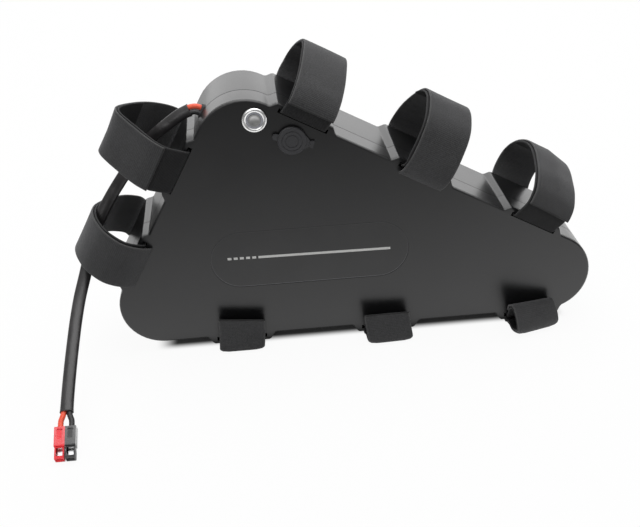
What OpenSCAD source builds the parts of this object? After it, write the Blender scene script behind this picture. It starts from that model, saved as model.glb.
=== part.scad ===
// Triangle battery for an electric bicycle: a moulded two-part case that straps into the frame.
// X runs along the base from the foot to the nose, Y from the switch face to the back, Z up.
// Origin: centre of the footprint, on the surface that the base straps stand on.

/* [Case] */
// Distance between the centres of the foot round and the nose round
base_len = 324; // [300:1:340]
// Run of the peak round's centre past the foot round's centre
peak_run = 78; // [70:1:90]
// Rise of the peak round's centre above the foot round's centre
peak_rise = 133.5; // [125:0.5:140]
// Radius of the foot round, lower left
foot_r = 35; // [32:0.5:38]
// Radius of the peak round
peak_r = 38; // [34:0.5:42]
// Radius of the nose round, lower right
nose_r = 35.4; // [32:0.2:38]
// Depth of the whole case
case_t = 75; // [74:0.5:90]
// Depth of the front cover, up to the parting line
cover_t = 25; // [22:0.5:30]
// Wall thickness
wall = 3; // [2.4:0.1:3.4]
// Radius of the moulded rim, front and back
rim_r = 1.5; // [1:0.1:2.8]
// Depth of the fine groove behind the front rim and at the parting line
groove_depth = 0.4; // [0.2:0.1:0.6]

/* [Strap lands] */
// Length of a land's top
land_len = 46; // [44:1:50]
// Run of the curved step at each end of a land
land_bevel = 6; // [4:0.5:8]
// Height of the lands on the two upper sides
land_h = 4.8; // [4.4:0.1:6]
// Height of the lands under the base
base_land_h = 6.8; // [6:0.1:8]
// Length of a strap slot
slot_len = 42; // [40:0.5:43]
// Width of a strap slot
slot_gap = 3.6; // [3.2:0.1:4]
// Wall between a slot and the top of its land
slot_wall = 3.2; // [2.4:0.1:3.4]
// Wall of the strap tunnel inside the case
tunnel_wall = 1.6; // [1.2:0.1:2]
// Place of the first land along the foot-to-peak side
left_first = 27.5; // [26:0.5:30]
// Place of its last land, from the peak end
left_end = 38.6; // [36:0.1:44]
// Place of the first land along the peak-to-nose side
top_first = 31; // [30:0.5:34]
// Place of its last land, from the nose end
top_end = 37.7; // [34:0.1:44]
// Place of the first land along the base, from the nose
base_first = 15; // [12:0.5:20]
// Place of the last land of the base, from the foot end
base_end = 63; // [56:0.5:70]

/* [Straps] */
// Width of the webbing
strap_w = 38; // [34:0.5:39]
// Thickness of one tape
tape_t = 1.6; // [1.2:0.1:1.7]
// Gap between the hook tape and the loop tape where they grip
tape_gap = 0.3; // [0.2:0.05:0.5]
// Height of the first top loop above its edge line
top_loop_1 = 44.5; // [38:0.5:52]
// Height of the middle top loop
top_loop_2 = 55.5; // [48:0.5:60]
// Height of the last top loop
top_loop_3 = 49; // [42:0.5:56]
// Reach of the upper left loop
left_loop_2 = 60; // [52:0.5:66]
// Reach of the lower left loop
left_loop_1 = 46.5; // [40:0.5:52]

/* [Front panel] */
// Length of the stadium label field
label_len = 162; // [140:1:166]
// Height of the label field
label_w = 50; // [40:1:52]
// Place of the label field's middle right of the foot round's centre
label_right = 124; // [118:1:130]
// Place of the label field's middle above the base line
label_up = 71.5; // [66:0.5:78]
// Depth of the label field
label_depth = 0.6; // [0.4:0.1:0.8]
// Thickness of the label plate
label_t = 0.35; // [0.2:0.05:0.4]
// Outer diameter of the switch bezel
bezel_d = 19.3; // [18:0.1:20]
// Place of the switch right of the peak round's centre
switch_right = 8.6; // [6:0.1:12]
// Place of the switch above the peak round's centre
switch_up = 22.1; // [18:0.1:23]
// Diameter of the switch thread
switch_d = 16; // [15:0.1:16.5]
// Outer diameter of the light ring
ring_d = 12.9; // [12:0.1:13.5]
// Diameter of the push button
button_d = 9.8; // [8:0.1:10]
// Travel of the push button
button_travel = 2; // [1:0.1:2.5]
// Diameter of the charge socket's cap
cap_d = 22.6; // [20:0.1:24]
// Place of the charge socket right of the peak round's centre
socket_right = 36.1; // [35:0.1:38]
// Place of the charge socket above the peak round's centre
socket_up = 3.9; // [2:0.1:5]
// Thread diameter of the charge socket
socket_d = 12; // [11:0.1:13]

/* [Cells] */
// Diameter of a cell
cell_d = 18.4; // [18:0.1:18.6]
// Length of a cell
cell_len = 65; // [64:0.1:65.2]
// Step between neighbouring cells of a row
cell_pitch = 19.6; // [19.4:0.1:20.4]
// Number of cell rows
cell_rows = 7; // [4:1:7]
// Depth of a cell holder
holder_t = 8; // [6:0.5:12]

/* [Output lead] */
// Outer diameter of one wire
wire_d = 4.2; // [3.6:0.1:4.3]
// Wall of the heat-shrink sleeve
sleeve_wall = 0.5; // [0.4:0.1:0.8]
// Width and height of one connector housing
housing_w = 7.9; // [7.9:0.1:8.2]
// Length of one connector housing
housing_len = 24.6; // [23:0.1:26]

/* [Hidden] */
$fn = 48;

// Overrun of every cut past the surface that it opens
over = 1;
// Running clearance between pieces that move or slide on assembly
fit = 0.15;
// Clearance between a soft piece and its neighbour
soft_fit = 0.3;

// Outline of the case: three rounds joined by tangent sides.
// Side 0 runs from foot to peak, side 1 from peak to nose, side 2 from nose to foot.
corners = [[0, foot_r], [peak_run, foot_r + peak_rise], [base_len, nose_r]];
radii = [foot_r, peak_r, nose_r];
arc_step = 7.5;
bevel_steps = 4;

function dir(a) = [cos(a), sin(a)];
function side_vector(e) = corners[(e + 1) % 3] - corners[e];
function side_drop(e) = radii[e] - radii[(e + 1) % 3];
function side_len(e) = sqrt(pow(norm(side_vector(e)), 2) - pow(side_drop(e), 2));
function side_normal(e) = atan2(side_vector(e)[1], side_vector(e)[0])
    + acos(side_drop(e) / norm(side_vector(e)));
function side_angle(e) = side_normal(e) - 90;
// A place on a side: s along it from its tangent point, h outwards from the side's line
function side_point(e, s, h) = corners[e] + (radii[e] + h) * dir(side_normal(e)) + s * dir(side_angle(e));

// Each land: its side, its place along the side and its height
left_last = side_len(0) - left_end;
top_last = side_len(1) - top_end;
base_last = side_len(2) - base_end;
lands = [[0, left_first, land_h], [0, left_last, land_h],
    [1, top_first, land_h], [1, (top_first + top_last) / 2, land_h], [1, top_last, land_h],
    [2, base_first, base_land_h], [2, (base_first + base_last) / 2, base_land_h],
    [2, base_last, base_land_h]];
land_reach = land_len / 2 + land_bevel;
function side_lands(e) = [for (l = lands) if (l[0] == e) l];
function first_land(e) = side_lands(e)[0];
function last_land(e) = side_lands(e)[len(side_lands(e)) - 1];
function slot_level(l) = l[2] - slot_wall - slot_gap / 2;

// How far a land reaches past the tangent point at each end of its side
function start_overrun(e) = max(0, land_reach - first_land(e)[1]);
function end_overrun(e) = max(0, last_land(e)[1] + land_reach - side_len(e));

// The round carries on past a side's tangent point, so it falls away below the side's line
function fall(r, run) = sqrt(r * r - run * run) - r;
function base_level(e, s, inset) = s < 0 ? fall(radii[e] - inset, s)
    : s > side_len(e) ? fall(radii[(e + 1) % 3] - inset, s - side_len(e)) : 0;
function ease(u) = u * u * (3 - 2 * u);
function land_level(l, s, u, inset) = base_level(l[0], s, inset) * (1 - ease(u)) + l[2] * ease(u);
// The lift is 1 for the outline with its lands and 0 for the same points on the plain rounded triangle
function land_point(l, s, u, inset, lift) = side_point(l[0], s, land_level(l, s, u * lift, inset) - inset);
function land_up(l, inset, lift) = [for (k = [0:bevel_steps])
    land_point(l, l[1] - land_reach + land_bevel * k / bevel_steps, k / bevel_steps, inset, lift)];
function land_down(l, inset, lift) = [for (k = [bevel_steps:-1:0])
    land_point(l, l[1] + land_reach - land_bevel * k / bevel_steps, k / bevel_steps, inset, lift)];
function side_points(e, inset, lift) = [for (l = side_lands(e))
    each concat(land_up(l, inset, lift), land_down(l, inset, lift))];

// The round at the start of side e, less what the lands beside it take
function round_start(e) = side_normal((e + 2) % 3) + (e == 0 ? 360 : 0);
function round_points(e, inset, trim_in, trim_out) =
    let (r = radii[e] - inset,
        a0 = round_start(e) - asin(trim_in / r),
        a1 = side_normal(e) + asin(trim_out / r),
        n = ceil((round_start(e) - side_normal(e)) / arc_step))
    [for (k = [(trim_in > 0 ? 1 : 0):(trim_out > 0 ? n - 1 : n)])
        corners[e] + r * dir(a0 + (a1 - a0) * k / n)];
function outline(inset, lift) = [for (e = [0:2]) each concat(
    round_points(e, inset, end_overrun((e + 2) % 3), start_overrun(e)), side_points(e, inset, lift))];
function plain_outline(inset) = [for (e = [0:2]) each round_points(e, inset, 0, 0)];

// A solid lofted through rings of the outline, each ring [depth, inset], with a fan to close each end
cap_inset = 12;
cap_middle = (corners[0] + corners[1] + corners[2]) / 3;
module lofted(rings) {
    n = len(outline(0, 1));
    m = len(rings);
    y0 = rings[0][0];
    y1 = rings[m - 1][0];
    points = concat([for (p = outline(cap_inset, 0)) [p[0], y0, p[1]]],
        [for (ring = rings) each [for (p = outline(ring[1], 1)) [p[0], ring[0], p[1]]]],
        [for (p = outline(cap_inset, 0)) [p[0], y1, p[1]]],
        [[cap_middle[0], y0, cap_middle[1]], [cap_middle[0], y1, cap_middle[1]]]);
    sides = [for (k = [0:m]) for (i = [0:n - 1]) each [
        [k * n + i, (k + 1) * n + i, (k + 1) * n + (i + 1) % n],
        [k * n + i, (k + 1) * n + (i + 1) % n, k * n + (i + 1) % n]]];
    front = [for (i = [0:n - 1]) [(m + 2) * n, i, (i + 1) % n]];
    back = [for (i = [0:n - 1]) [(m + 2) * n + 1, (m + 1) * n + (i + 1) % n, (m + 1) * n + i]];
    polyhedron(points = points, faces = concat(front, sides, back));
}

// A flat shape drawn in X and Z, standing from depth y0 to depth y1
module slab(y0, y1) {
    translate([0, y1, 0]) rotate([90, 0, 0]) linear_extrude(y1 - y0) children();
}
// A flat frame on a side of the case: X along the side, Y outwards
module on_side(e, s) {
    translate(side_point(e, s, 0)) rotate(side_angle(e)) children();
}
module at_panel(place, y) {
    translate([place[0], y, place[1]]) rotate([90, 0, 0]) children();
}
module stadium(length, width) {
    for (side = [-1, 1]) translate([side * (length - width) / 2, 0]) circle(d = width, $fn = 96);
    square([length - width, width], center = true);
}

// Strap tapes. A path lies in the plane across its side: [depth, height above the side's line].
spline_steps = 3;
function spline_at(a, b, c, d, u) = (2 * b + (c - a) * u + (2 * a - 5 * b + 4 * c - d) * u * u
    + (3 * b - 3 * c + d - a) * u * u * u) / 2;
function spline(p) = concat([for (i = [0:len(p) - 2]) for (j = [0:spline_steps - 1])
    spline_at(p[max(i - 1, 0)], p[i], p[i + 1], p[min(i + 2, len(p) - 1)], j / spline_steps)],
    [p[len(p) - 1]]);
function unit(v) = v / norm(v);
function path_normal(p, i) = let (t = unit(p[min(i + 1, len(p) - 1)] - p[max(i - 1, 0)])) [-t[1], t[0]];
function shifted(p, distance) = [for (i = [0:len(p) - 1]) p[i] + distance * path_normal(p, i)];
function span(p, first, last) = [for (i = [first:last]) p[i]];
function band(p) = concat(shifted(p, tape_t / 2),
    [for (i = [len(p) - 1:-1:0]) p[i] - tape_t / 2 * path_normal(p, i)]);

// Outer faces of the loops, front to back, as shares of the case depth and of the loop's reach
left_lower_shares = [[-0.03, -0.16], [-0.1, -0.03], [-0.15, 0.1], [-0.18, 0.25], [-0.18, 0.42], [-0.13, 0.6],
    [-0.05, 0.76], [0.06, 0.88], [0.18, 0.96], [0.32, 1], [0.46, 0.98], [0.6, 0.9], [0.74, 0.79],
    [0.88, 0.66], [1.02, 0.48], [1.1, 0.3], [1.13, 0.16], [1.08, 0.05]];
left_upper_shares = [[-0.07, 0.04], [-0.13, 0.1], [-0.175, 0.19], [-0.19, 0.3], [-0.15, 0.44], [-0.07, 0.58],
    [0.02, 0.71], [0.11, 0.84], [0.21, 0.95], [0.31, 1], [0.42, 0.99], [0.55, 0.92], [0.69, 0.82],
    [0.84, 0.7], [0.98, 0.56], [1.08, 0.4], [1.13, 0.24], [1.12, 0.1], [1.07, 0.03]];
top_first_shares = [[-0.1, 0.09], [-0.13, 0.23], [-0.1, 0.38], [0, 0.55], [0.14, 0.68], [0.28, 0.79],
    [0.45, 0.9], [0.62, 0.98], [0.77, 1], [0.9, 0.94], [1.03, 0.8], [1.13, 0.6], [1.165, 0.4],
    [1.14, 0.2], [1.08, 0.06]];
top_middle_shares = [[-0.045, -0.12], [-0.11, -0.03], [-0.155, 0.1], [-0.155, 0.3], [-0.12, 0.5],
    [-0.06, 0.69], [0.03, 0.82], [0.15, 0.91], [0.3, 0.985], [0.44, 1], [0.58, 0.955], [0.72, 0.85],
    [0.86, 0.69], [0.98, 0.5], [1.05, 0.32], [1.08, 0.16], [1.06, 0.05]];
top_last_shares = [[-0.1, 0.08], [-0.15, 0.2], [-0.168, 0.34], [-0.15, 0.46], [-0.09, 0.61], [0.02, 0.74],
    [0.13, 0.83], [0.27, 0.9], [0.42, 0.965], [0.57, 1], [0.72, 0.985], [0.88, 0.91], [1.02, 0.8],
    [1.12, 0.65], [1.165, 0.48], [1.155, 0.3], [1.11, 0.14], [1.06, 0.04]];

// Height of the base straps' underside below the base line: the land and two tapes under it
base_stack = base_land_h + fit + 2 * tape_t + tape_gap;
// Front bulges of the base loops, as shares of that height on both axes, and their common back
base_first_shares = [[-0.42, -0.72], [-0.86, -0.8], [-1.33, -0.38], [-1.66, 0.2], [-1.57, 0.72],
    [-1.14, 0.96], [-0.4, 1], [0.4, 1]];
base_middle_shares = [[-0.5, -1.14], [-0.95, -0.86], [-1.3, -0.3], [-1.45, 0.3], [-1.28, 0.78],
    [-0.8, 0.98], [-0.2, 1], [0.4, 1]];
base_last_shares = [[-0.44, -1.72], [-0.78, -1.12], [-1, -0.45], [-1.05, 0.18], [-0.92, 0.68],
    [-0.52, 0.96], [0, 1], [0.4, 1]];
base_back_shares = [[0.4, 1], [0, 1], [-0.7, 0.98], [-1.25, 0.75], [-1.45, 0.25], [-1.25, -0.2],
    [-0.8, -0.3], [-0.35, -0.02]];
// The hook tape climbs out of the slot inside the bulge before it turns down
base_first_rise_shares = [[-0.18, -0.04], [-0.38, -0.32]];
base_middle_rise_shares = [[-0.24, 0.02], [-0.27, -0.34], [-0.42, -0.66]];
base_last_rise_shares = [[-0.24, 0.02], [-0.27, -0.4], [-0.29, -0.86], [-0.38, -1.1]];

// Sizes of each strap in the order of the lands: reach, where its loop tape starts, where its hook
// tape starts and how many points before the back end the hook tape stops
loop_sizes = [[left_loop_1, 0, 3, 6], [left_loop_2, 3, 2, 5], [top_loop_1, 1, 1, 4],
    [top_loop_2, 0, 2, 5], [top_loop_3, 2, 1, 5]];
loop_shares = [left_lower_shares, left_upper_shares, top_first_shares, top_middle_shares, top_last_shares];
base_shares = [base_first_shares, base_middle_shares, base_last_shares];
base_rise_shares = [base_first_rise_shares, base_middle_rise_shares, base_last_rise_shares];

slot_lead = 3;
slot_exit = 1;
// The tape leans a little outwards as it leaves a slot
mouth_lift = 0.35;
outer_offset = -tape_t / 2;
inner_offset = -(tape_t * 3 / 2 + tape_gap);
function tunnel_mid(i) = [case_t / 2, slot_level(lands[i])];
function front_mouth(i) =
    [[slot_lead, slot_level(lands[i])], [-slot_exit, slot_level(lands[i]) + mouth_lift]];
function back_mouth(i) =
    [[case_t + slot_exit, slot_level(lands[i])], [case_t - slot_lead, slot_level(lands[i])]];

function free_loop(i) = [for (p = loop_shares[i]) [p[0] * case_t, p[1] * loop_sizes[i][0]]];
function base_front(i) = [for (p = base_shares[i - 5]) [p[0] * base_stack, p[1] * base_stack]];
function base_rise(i) = [for (p = base_rise_shares[i - 5]) [p[0] * base_stack, p[1] * base_stack]];
function base_back() = [for (p = base_back_shares) [case_t - p[0] * base_stack, p[1] * base_stack]];

// The outer curve runs clockwise seen along the side, so its inside lies at negative offsets
function upper_loop_path(i) = let (p = shifted(free_loop(i), outer_offset))
    concat(spline(concat(span(p, loop_sizes[i][1], len(p) - 1), back_mouth(i))), [tunnel_mid(i)]);
// Where the hook tape first meets the loop tape it lies a little deeper inside
hook_lead = 0.7;
function upper_hook_path(i) = let (p = shifted(free_loop(i), inner_offset),
        q = shifted(free_loop(i), inner_offset - hook_lead), first = loop_sizes[i][2])
    concat([tunnel_mid(i)],
        spline(concat(front_mouth(i), [q[first]], span(p, first + 1, len(p) - 1 - loop_sizes[i][3]))));
function base_loop_path(i) = concat(
    spline(shifted(base_front(i), outer_offset)),
    spline(concat(shifted(base_back(), outer_offset), back_mouth(i))), [tunnel_mid(i)]);
hook_run_share = 0.62;
function base_hook_path(i) = let (p = shifted(base_front(i), inner_offset))
    concat([tunnel_mid(i)], spline(concat(front_mouth(i), base_rise(i), span(p, 1, len(p) - 1))),
        [[case_t * hook_run_share, p[len(p) - 1][1]]]);
function loop_path(i) = i < 5 ? upper_loop_path(i) : base_loop_path(i);
function hook_path(i) = i < 5 ? upper_hook_path(i) : base_hook_path(i);

// The footprint's centre, from the strap loops and the nose, and the height of the base line
loop_bands = [for (i = [0:7]) band(loop_path(i))];
band_depths = [for (b = loop_bands) each [for (p = b) p[0]]];
left_reach = max([for (p = loop_bands[0]) p[1]]);
left_limit = side_point(0, lands[0][1] - strap_w / 2, left_reach)[0];
mid_x = (left_limit + base_len + nose_r) / 2;
mid_y = (min(band_depths) + max(band_depths)) / 2;
stand_h = max([for (i = [5:7]) for (p = loop_bands[i]) p[1]]);
module place() {
    translate([-mid_x, -mid_y, stand_h]) children();
}

module tape(i, path) {
    l = lands[i];
    p = side_point(l[0], l[1], 0);
    place() translate([p[0], 0, p[1]]) rotate([0, -side_angle(l[0]), 0])
        translate([-strap_w / 2, 0, 0]) rotate([90, 0, 90]) linear_extrude(strap_w) polygon(band(path));
}
hook_colour = [0.06, 0.06, 0.065];
loop_colour = [0.17, 0.17, 0.18];
module left_lower_hook_tape() { color(hook_colour) tape(0, hook_path(0)); }
module left_lower_loop_tape() { color(loop_colour) tape(0, loop_path(0)); }
module left_upper_hook_tape() { color(hook_colour) tape(1, hook_path(1)); }
module left_upper_loop_tape() { color(loop_colour) tape(1, loop_path(1)); }
module top_first_hook_tape() { color(hook_colour) tape(2, hook_path(2)); }
module top_first_loop_tape() { color(loop_colour) tape(2, loop_path(2)); }
module top_middle_hook_tape() { color(hook_colour) tape(3, hook_path(3)); }
module top_middle_loop_tape() { color(loop_colour) tape(3, loop_path(3)); }
module top_last_hook_tape() { color(hook_colour) tape(4, hook_path(4)); }
module top_last_loop_tape() { color(loop_colour) tape(4, loop_path(4)); }
module base_last_hook_tape() { color(hook_colour) tape(7, hook_path(7)); }
module base_last_loop_tape() { color(loop_colour) tape(7, loop_path(7)); }
module base_middle_hook_tape() { color(hook_colour) tape(6, hook_path(6)); }
module base_middle_loop_tape() { color(loop_colour) tape(6, loop_path(6)); }
module base_first_hook_tape() { color(hook_colour) tape(5, hook_path(5)); }
module base_first_loop_tape() { color(loop_colour) tape(5, loop_path(5)); }

// Case screws: a counterbored boss in the shell meets an insert boss in the cover
boss_r = 4.5;
screw_r = 1.5;
screw_clear = 0.2;
head_r = 2.8;
head_h = 2.2;
head_room = 0.4;
screw_seat = 12;
screw_reach = 8;
insert_r = 2.4;
insert_len = 6;
insert_floor = 4;
boss_inset = wall + boss_r - over;
// Places of the bosses: two in the rounds by angle, the others just inside a side
foot_boss_angle = 232;
nose_boss_angle = -52;
peak_boss_angle = 108;
function in_round(c, a) = corners[c] + (radii[c] - boss_inset) * dir(a);
bosses = [in_round(0, foot_boss_angle), in_round(2, nose_boss_angle), in_round(1, peak_boss_angle),
    side_point(1, (3 * top_first + top_last) / 4, -boss_inset),
    side_point(1, (top_first + 3 * top_last) / 4, -boss_inset),
    side_point(0, (left_first + left_last) / 2, -boss_inset)];
module each_boss() {
    for (b = bosses) translate(b) children();
}

// Inside of the case, less the tunnels and bosses that stand in it
module hollow(skin) {
    difference() {
        polygon(plain_outline(skin));
        for (l = lands) on_side(l[0], l[1])
            translate([-slot_len / 2 - tunnel_wall, slot_level(l) - slot_gap / 2 - tunnel_wall])
            square([slot_len + 2 * tunnel_wall, slot_gap + wall + tunnel_wall]);
        each_boss() circle(boss_r);
    }
}
module slots() {
    for (l = lands) on_side(l[0], l[1]) translate([-slot_len / 2, slot_level(l) - slot_gap / 2])
        square([slot_len, slot_gap]);
}

// Front panel places, from the foot round's centre
switch_at = corners[1] + [switch_right, switch_up];
socket_at = corners[1] + [socket_right, socket_up];
label_at = [label_right, label_up];
anchor_angle = -16;
anchor_reach = cap_d / 2 + 4.5;
anchor_at = socket_at + anchor_reach * dir(anchor_angle);
stud_r = 1.4;

// The tongue of the shell enters a rebate of the cover, with the seal cord at its bottom
tongue_in = wall - 0.2;
tongue_out = wall / 2 + 0.1;
tongue_h = 2.5;
seal_t = 1;
rebate_fit = 0.2;
rebate_floor = cover_t - tongue_h - seal_t;

shell_colour = [0.09, 0.09, 0.095];
rim_angles = [0, 30, 60, 90];
function rim_inset(a) = rim_r * (1 - sin(a));
function rim_depth(a) = rim_r * (1 - cos(a));
rim_gap = 0.6;
// Each half is lofted a little past the parting line and then cut flat
spare = 4;
module past_parting(y0, y1) {
    slab(y0, y1) polygon(plain_outline(-2 * base_land_h));
}
parting_bevel = 0.6;
cover_rings = concat([for (a = rim_angles) [rim_depth(a), rim_inset(a)]],
    [[rim_r + rim_gap, 0], [rim_r + rim_gap + groove_depth, groove_depth],
    [rim_r + rim_gap + 2 * groove_depth, 0],
    [cover_t - parting_bevel, 0], [cover_t, groove_depth], [cover_t + spare, groove_depth]]);
shell_rings = concat([[cover_t - spare, groove_depth], [cover_t, groove_depth],
    [cover_t + parting_bevel, 0]],
    [for (i = [3:-1:0]) [case_t - rim_depth(rim_angles[i]), rim_inset(rim_angles[i])]]);

module front_cover() {
    color(shell_colour) place() difference() {
        lofted(cover_rings);
        past_parting(cover_t, cover_t + spare + over);
        slab(wall, rebate_floor) hollow(wall);
        slab(-over, cover_t + over) slots();
        slab(rebate_floor, cover_t + over) difference() {
            polygon(plain_outline(tongue_out - rebate_fit));
            each_boss() circle(boss_r);
        }
        slab(-over, label_depth) translate(label_at) stadium(label_len, label_w);
        slab(-over, wall + over) {
            translate(switch_at) circle(d = switch_d + 2 * fit);
            translate(socket_at) circle(d = socket_d + 2 * fit);
        }
        slab(-over, wall - over) translate(anchor_at) circle(stud_r + fit);
        slab(insert_floor, cover_t + over) each_boss() circle(screw_r + screw_clear);
        slab(cover_t - insert_len, cover_t + over) each_boss() circle(insert_r);
    }
}

// The wires leave through the wall of the peak round, a little above the foot-to-peak side
exit_y = 30;
exit_place = 146;
exit_angle = 155;
exit_dir = [cos(exit_angle), 0, sin(exit_angle)];
exit_wall = [corners[1][0] + peak_r * cos(exit_place), exit_y, corners[1][1] + peak_r * sin(exit_place)];
wire_step = wire_d + 0.2;
grommet_wall = 1.5;
grommet_flange = 1.5;
grommet_lip = 1.2;
// Length of the lead that the grommet holds, before the inner leads take over
grommet_hold = 3;
// The pair lies flat to this direction, with the black wire on the right of the way it runs
look = [0, 0.88, -0.48];
exit_across = -unit(cross(exit_dir, look));
exit_twist = atan2(exit_across[1], exit_across * [sin(exit_angle), 0, -cos(exit_angle)]);
module at_exit() {
    translate(exit_wall) rotate([0, 90 - exit_angle, 0]) rotate([0, 0, exit_twist]) children();
}
module wire_slot(z0, z1, extra) {
    translate([0, 0, z0]) linear_extrude(z1 - z0)
        stadium(wire_step + wire_d + 2 * extra, wire_d + 2 * extra);
}

module rear_shell() {
    color(shell_colour) place() difference() {
        union() {
            difference() {
                lofted(shell_rings);
                past_parting(cover_t - spare - over, cover_t);
            }
            slab(cover_t - tongue_h, cover_t + over) difference() {
                polygon(plain_outline(tongue_out));
                polygon(plain_outline(tongue_in));
                each_boss() circle(boss_r + rebate_fit);
            }
        }
        slab(cover_t - over, case_t - wall) hollow(wall);
        slab(cover_t - tongue_h - over, case_t + over) slots();
        slab(cover_t - over, case_t + over) each_boss() circle(screw_r + screw_clear);
        slab(cover_t + screw_seat, case_t + over) each_boss() circle(head_r + head_room);
        at_exit() {
            wire_slot(-2 * wall, 2 * wall, grommet_wall);
            wire_slot(-3 * wall, -wall, grommet_wall + grommet_flange + fit);
        }
    }
}
module case_seal() {
    color([0.1, 0.1, 0.1]) place() slab(rebate_floor, cover_t - tongue_h) difference() {
        polygon(plain_outline(tongue_out));
        polygon(plain_outline(tongue_in));
        slots();
        each_boss() circle(boss_r + rebate_fit);
    }
}
module case_screws() {
    color([0.75, 0.75, 0.77]) place() for (b = bosses) at_panel(b, cover_t + screw_seat) {
        rotate([180, 0, 0]) difference() {
            cylinder(r = head_r, h = head_h);
            translate([0, 0, head_h / 2]) cylinder(r = screw_r, h = head_h, $fn = 6);
        }
        cylinder(r = screw_r, h = screw_seat + screw_reach);
    }
}
module screw_inserts() {
    color([0.8, 0.62, 0.25]) place() for (b = bosses) at_panel(b, cover_t) difference() {
        cylinder(r = insert_r, h = insert_len);
        translate([0, 0, -over]) cylinder(r = screw_r, h = insert_len + 2 * over);
    }
}
module label_plate() {
    color([0.11, 0.11, 0.115]) place() slab(label_depth - label_t, label_depth)
        translate(label_at) stadium(label_len - 2 * soft_fit, label_w - 2 * soft_fit);
}

// Panel switch, drawn with its axis on Z and the thread pointing down from the panel at Z = 0
bezel_h = 2;
bezel_edge = 0.7;
switch_seal_t = 0.6;
switch_depth = 26;
// The bezel is a domed ring between its outside and the light ring
bezel_ring_w = (bezel_d - ring_d) / 2;
bezel_mid_r = (bezel_d + ring_d) / 4;
bezel_foot = switch_seal_t + bezel_edge;
last_bezel_angle = 144;
bezel_angles = [for (k = [0:8]) last_bezel_angle * k / 8];
function bezel_height(a) = bezel_foot + (switch_seal_t + bezel_h - bezel_foot) * sin(a);
ring_t = 1.4;
ring_sink = 0.5;
button_sink = 0.3;
button_len = 8;
button_r = button_d / 2;
switch_bore_r = button_r + fit;
nut_t = 3;
nut_d = 21;
module switch_body() {
    low = switch_seal_t;
    top = switch_seal_t + bezel_h;
    bore_floor = top - button_sink - button_len - button_travel - soft_fit;
    color([0.85, 0.85, 0.86]) place() at_panel(switch_at, 0) difference() {
        union() {
            rotate_extrude($fn = 96)
                polygon(concat([[0, low], [bezel_d / 2, low]],
                    [for (a = bezel_angles) [bezel_mid_r + bezel_ring_w / 2 * cos(a), bezel_height(a)]],
                    [[0, bezel_height(last_bezel_angle)]]));
            translate([0, 0, -switch_depth])
                cylinder(d = switch_d, h = switch_depth + switch_seal_t + bezel_h / 2);
        }
        translate([0, 0, top - ring_t]) cylinder(d = ring_d + 2 * fit, h = ring_t + over);
        translate([0, 0, bore_floor]) cylinder(r = switch_bore_r, h = top - bore_floor + over);
    }
}
module switch_light_ring() {
    color([0.72, 0.76, 0.85]) place() at_panel(switch_at, 0)
        translate([0, 0, switch_seal_t + bezel_h - ring_t]) difference() {
            cylinder(d = ring_d, h = ring_t - ring_sink);
            translate([0, 0, -over]) cylinder(r = switch_bore_r, h = ring_t + 2 * over);
        }
}
dish_r = 14;
dish_depth = 0.5;
module power_button() {
    top = switch_seal_t + bezel_h - button_sink;
    color([0.82, 0.82, 0.83]) place() at_panel(switch_at, 0) difference() {
        translate([0, 0, top - button_len]) cylinder(r = button_r, h = button_len);
        translate([0, 0, top + dish_r - dish_depth]) sphere(r = dish_r, $fn = 64);
    }
}
module switch_seal() {
    color([0.05, 0.05, 0.05]) place() at_panel(switch_at, 0) difference() {
        cylinder(d = bezel_d - bezel_edge, h = switch_seal_t);
        translate([0, 0, -over]) cylinder(d = switch_d + 2 * fit, h = switch_seal_t + 2 * over);
    }
}
module switch_nut() {
    color([0.75, 0.75, 0.76]) place() at_panel(switch_at, wall) translate([0, 0, -nut_t]) difference() {
        cylinder(d = nut_d, h = nut_t, $fn = 6);
        translate([0, 0, -over]) cylinder(d = switch_d + fit, h = nut_t + 2 * over);
    }
}
base_h = 7;
pin_len = 4;
pin_r = 0.6;
pin_ring = switch_d / 4;
module switch_base() {
    color([0.08, 0.08, 0.08]) place() at_panel(switch_at, switch_depth) {
        translate([0, 0, -base_h]) cylinder(d = switch_d - 2 * fit, h = base_h);
        for (a = [45:90:315]) rotate(a) translate([pin_ring, 0, -base_h - pin_len])
            cylinder(r = pin_r, h = pin_len + over);
    }
}

// Charge socket behind a hinged rubber cap
flange_h = 1.2;
flange_d = cap_d - 1.5;
socket_depth = 20;
socket_bore = 2.85;
pin_d = 2;
plug_r = 2.6;
plug_len = 4;
cap_h = 2.4;
cap_ring_w = 0.7;
cap_ring_h = 0.4;
cap_ring_radii = [cap_d * 0.2, cap_d * 0.33];
neck_w = 5;
neck_t = 1;
hinge_reach = cap_d / 2 + 2.6;
hinge_gap = 0.3;
// Round bead of the neck, on the axis that the cap turns about
bead_r = 0.35;
ear_w = 5;
anchor_w = 6.4;
anchor_len = 3;
module charge_socket() {
    color([0.12, 0.12, 0.12]) place() at_panel(socket_at, 0) difference() {
        union() {
            cylinder(d = flange_d, h = flange_h);
            translate([0, 0, -socket_depth]) cylinder(d = socket_d, h = socket_depth + flange_h / 2);
        }
        translate([0, 0, over - socket_depth]) cylinder(r = socket_bore, h = socket_depth + flange_h);
    }
}
module charge_pin() {
    color([0.85, 0.75, 0.45]) place() at_panel(socket_at, 0)
        translate([0, 0, over - socket_depth]) cylinder(d = pin_d, h = socket_depth - plug_len - 2 * over);
}
module charge_nut() {
    color([0.75, 0.75, 0.76]) place() at_panel(socket_at, wall) translate([0, 0, -nut_t]) difference() {
        cylinder(d = socket_d + 4, h = nut_t, $fn = 6);
        translate([0, 0, -over]) cylinder(d = socket_d + fit, h = nut_t + 2 * over);
    }
}
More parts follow.
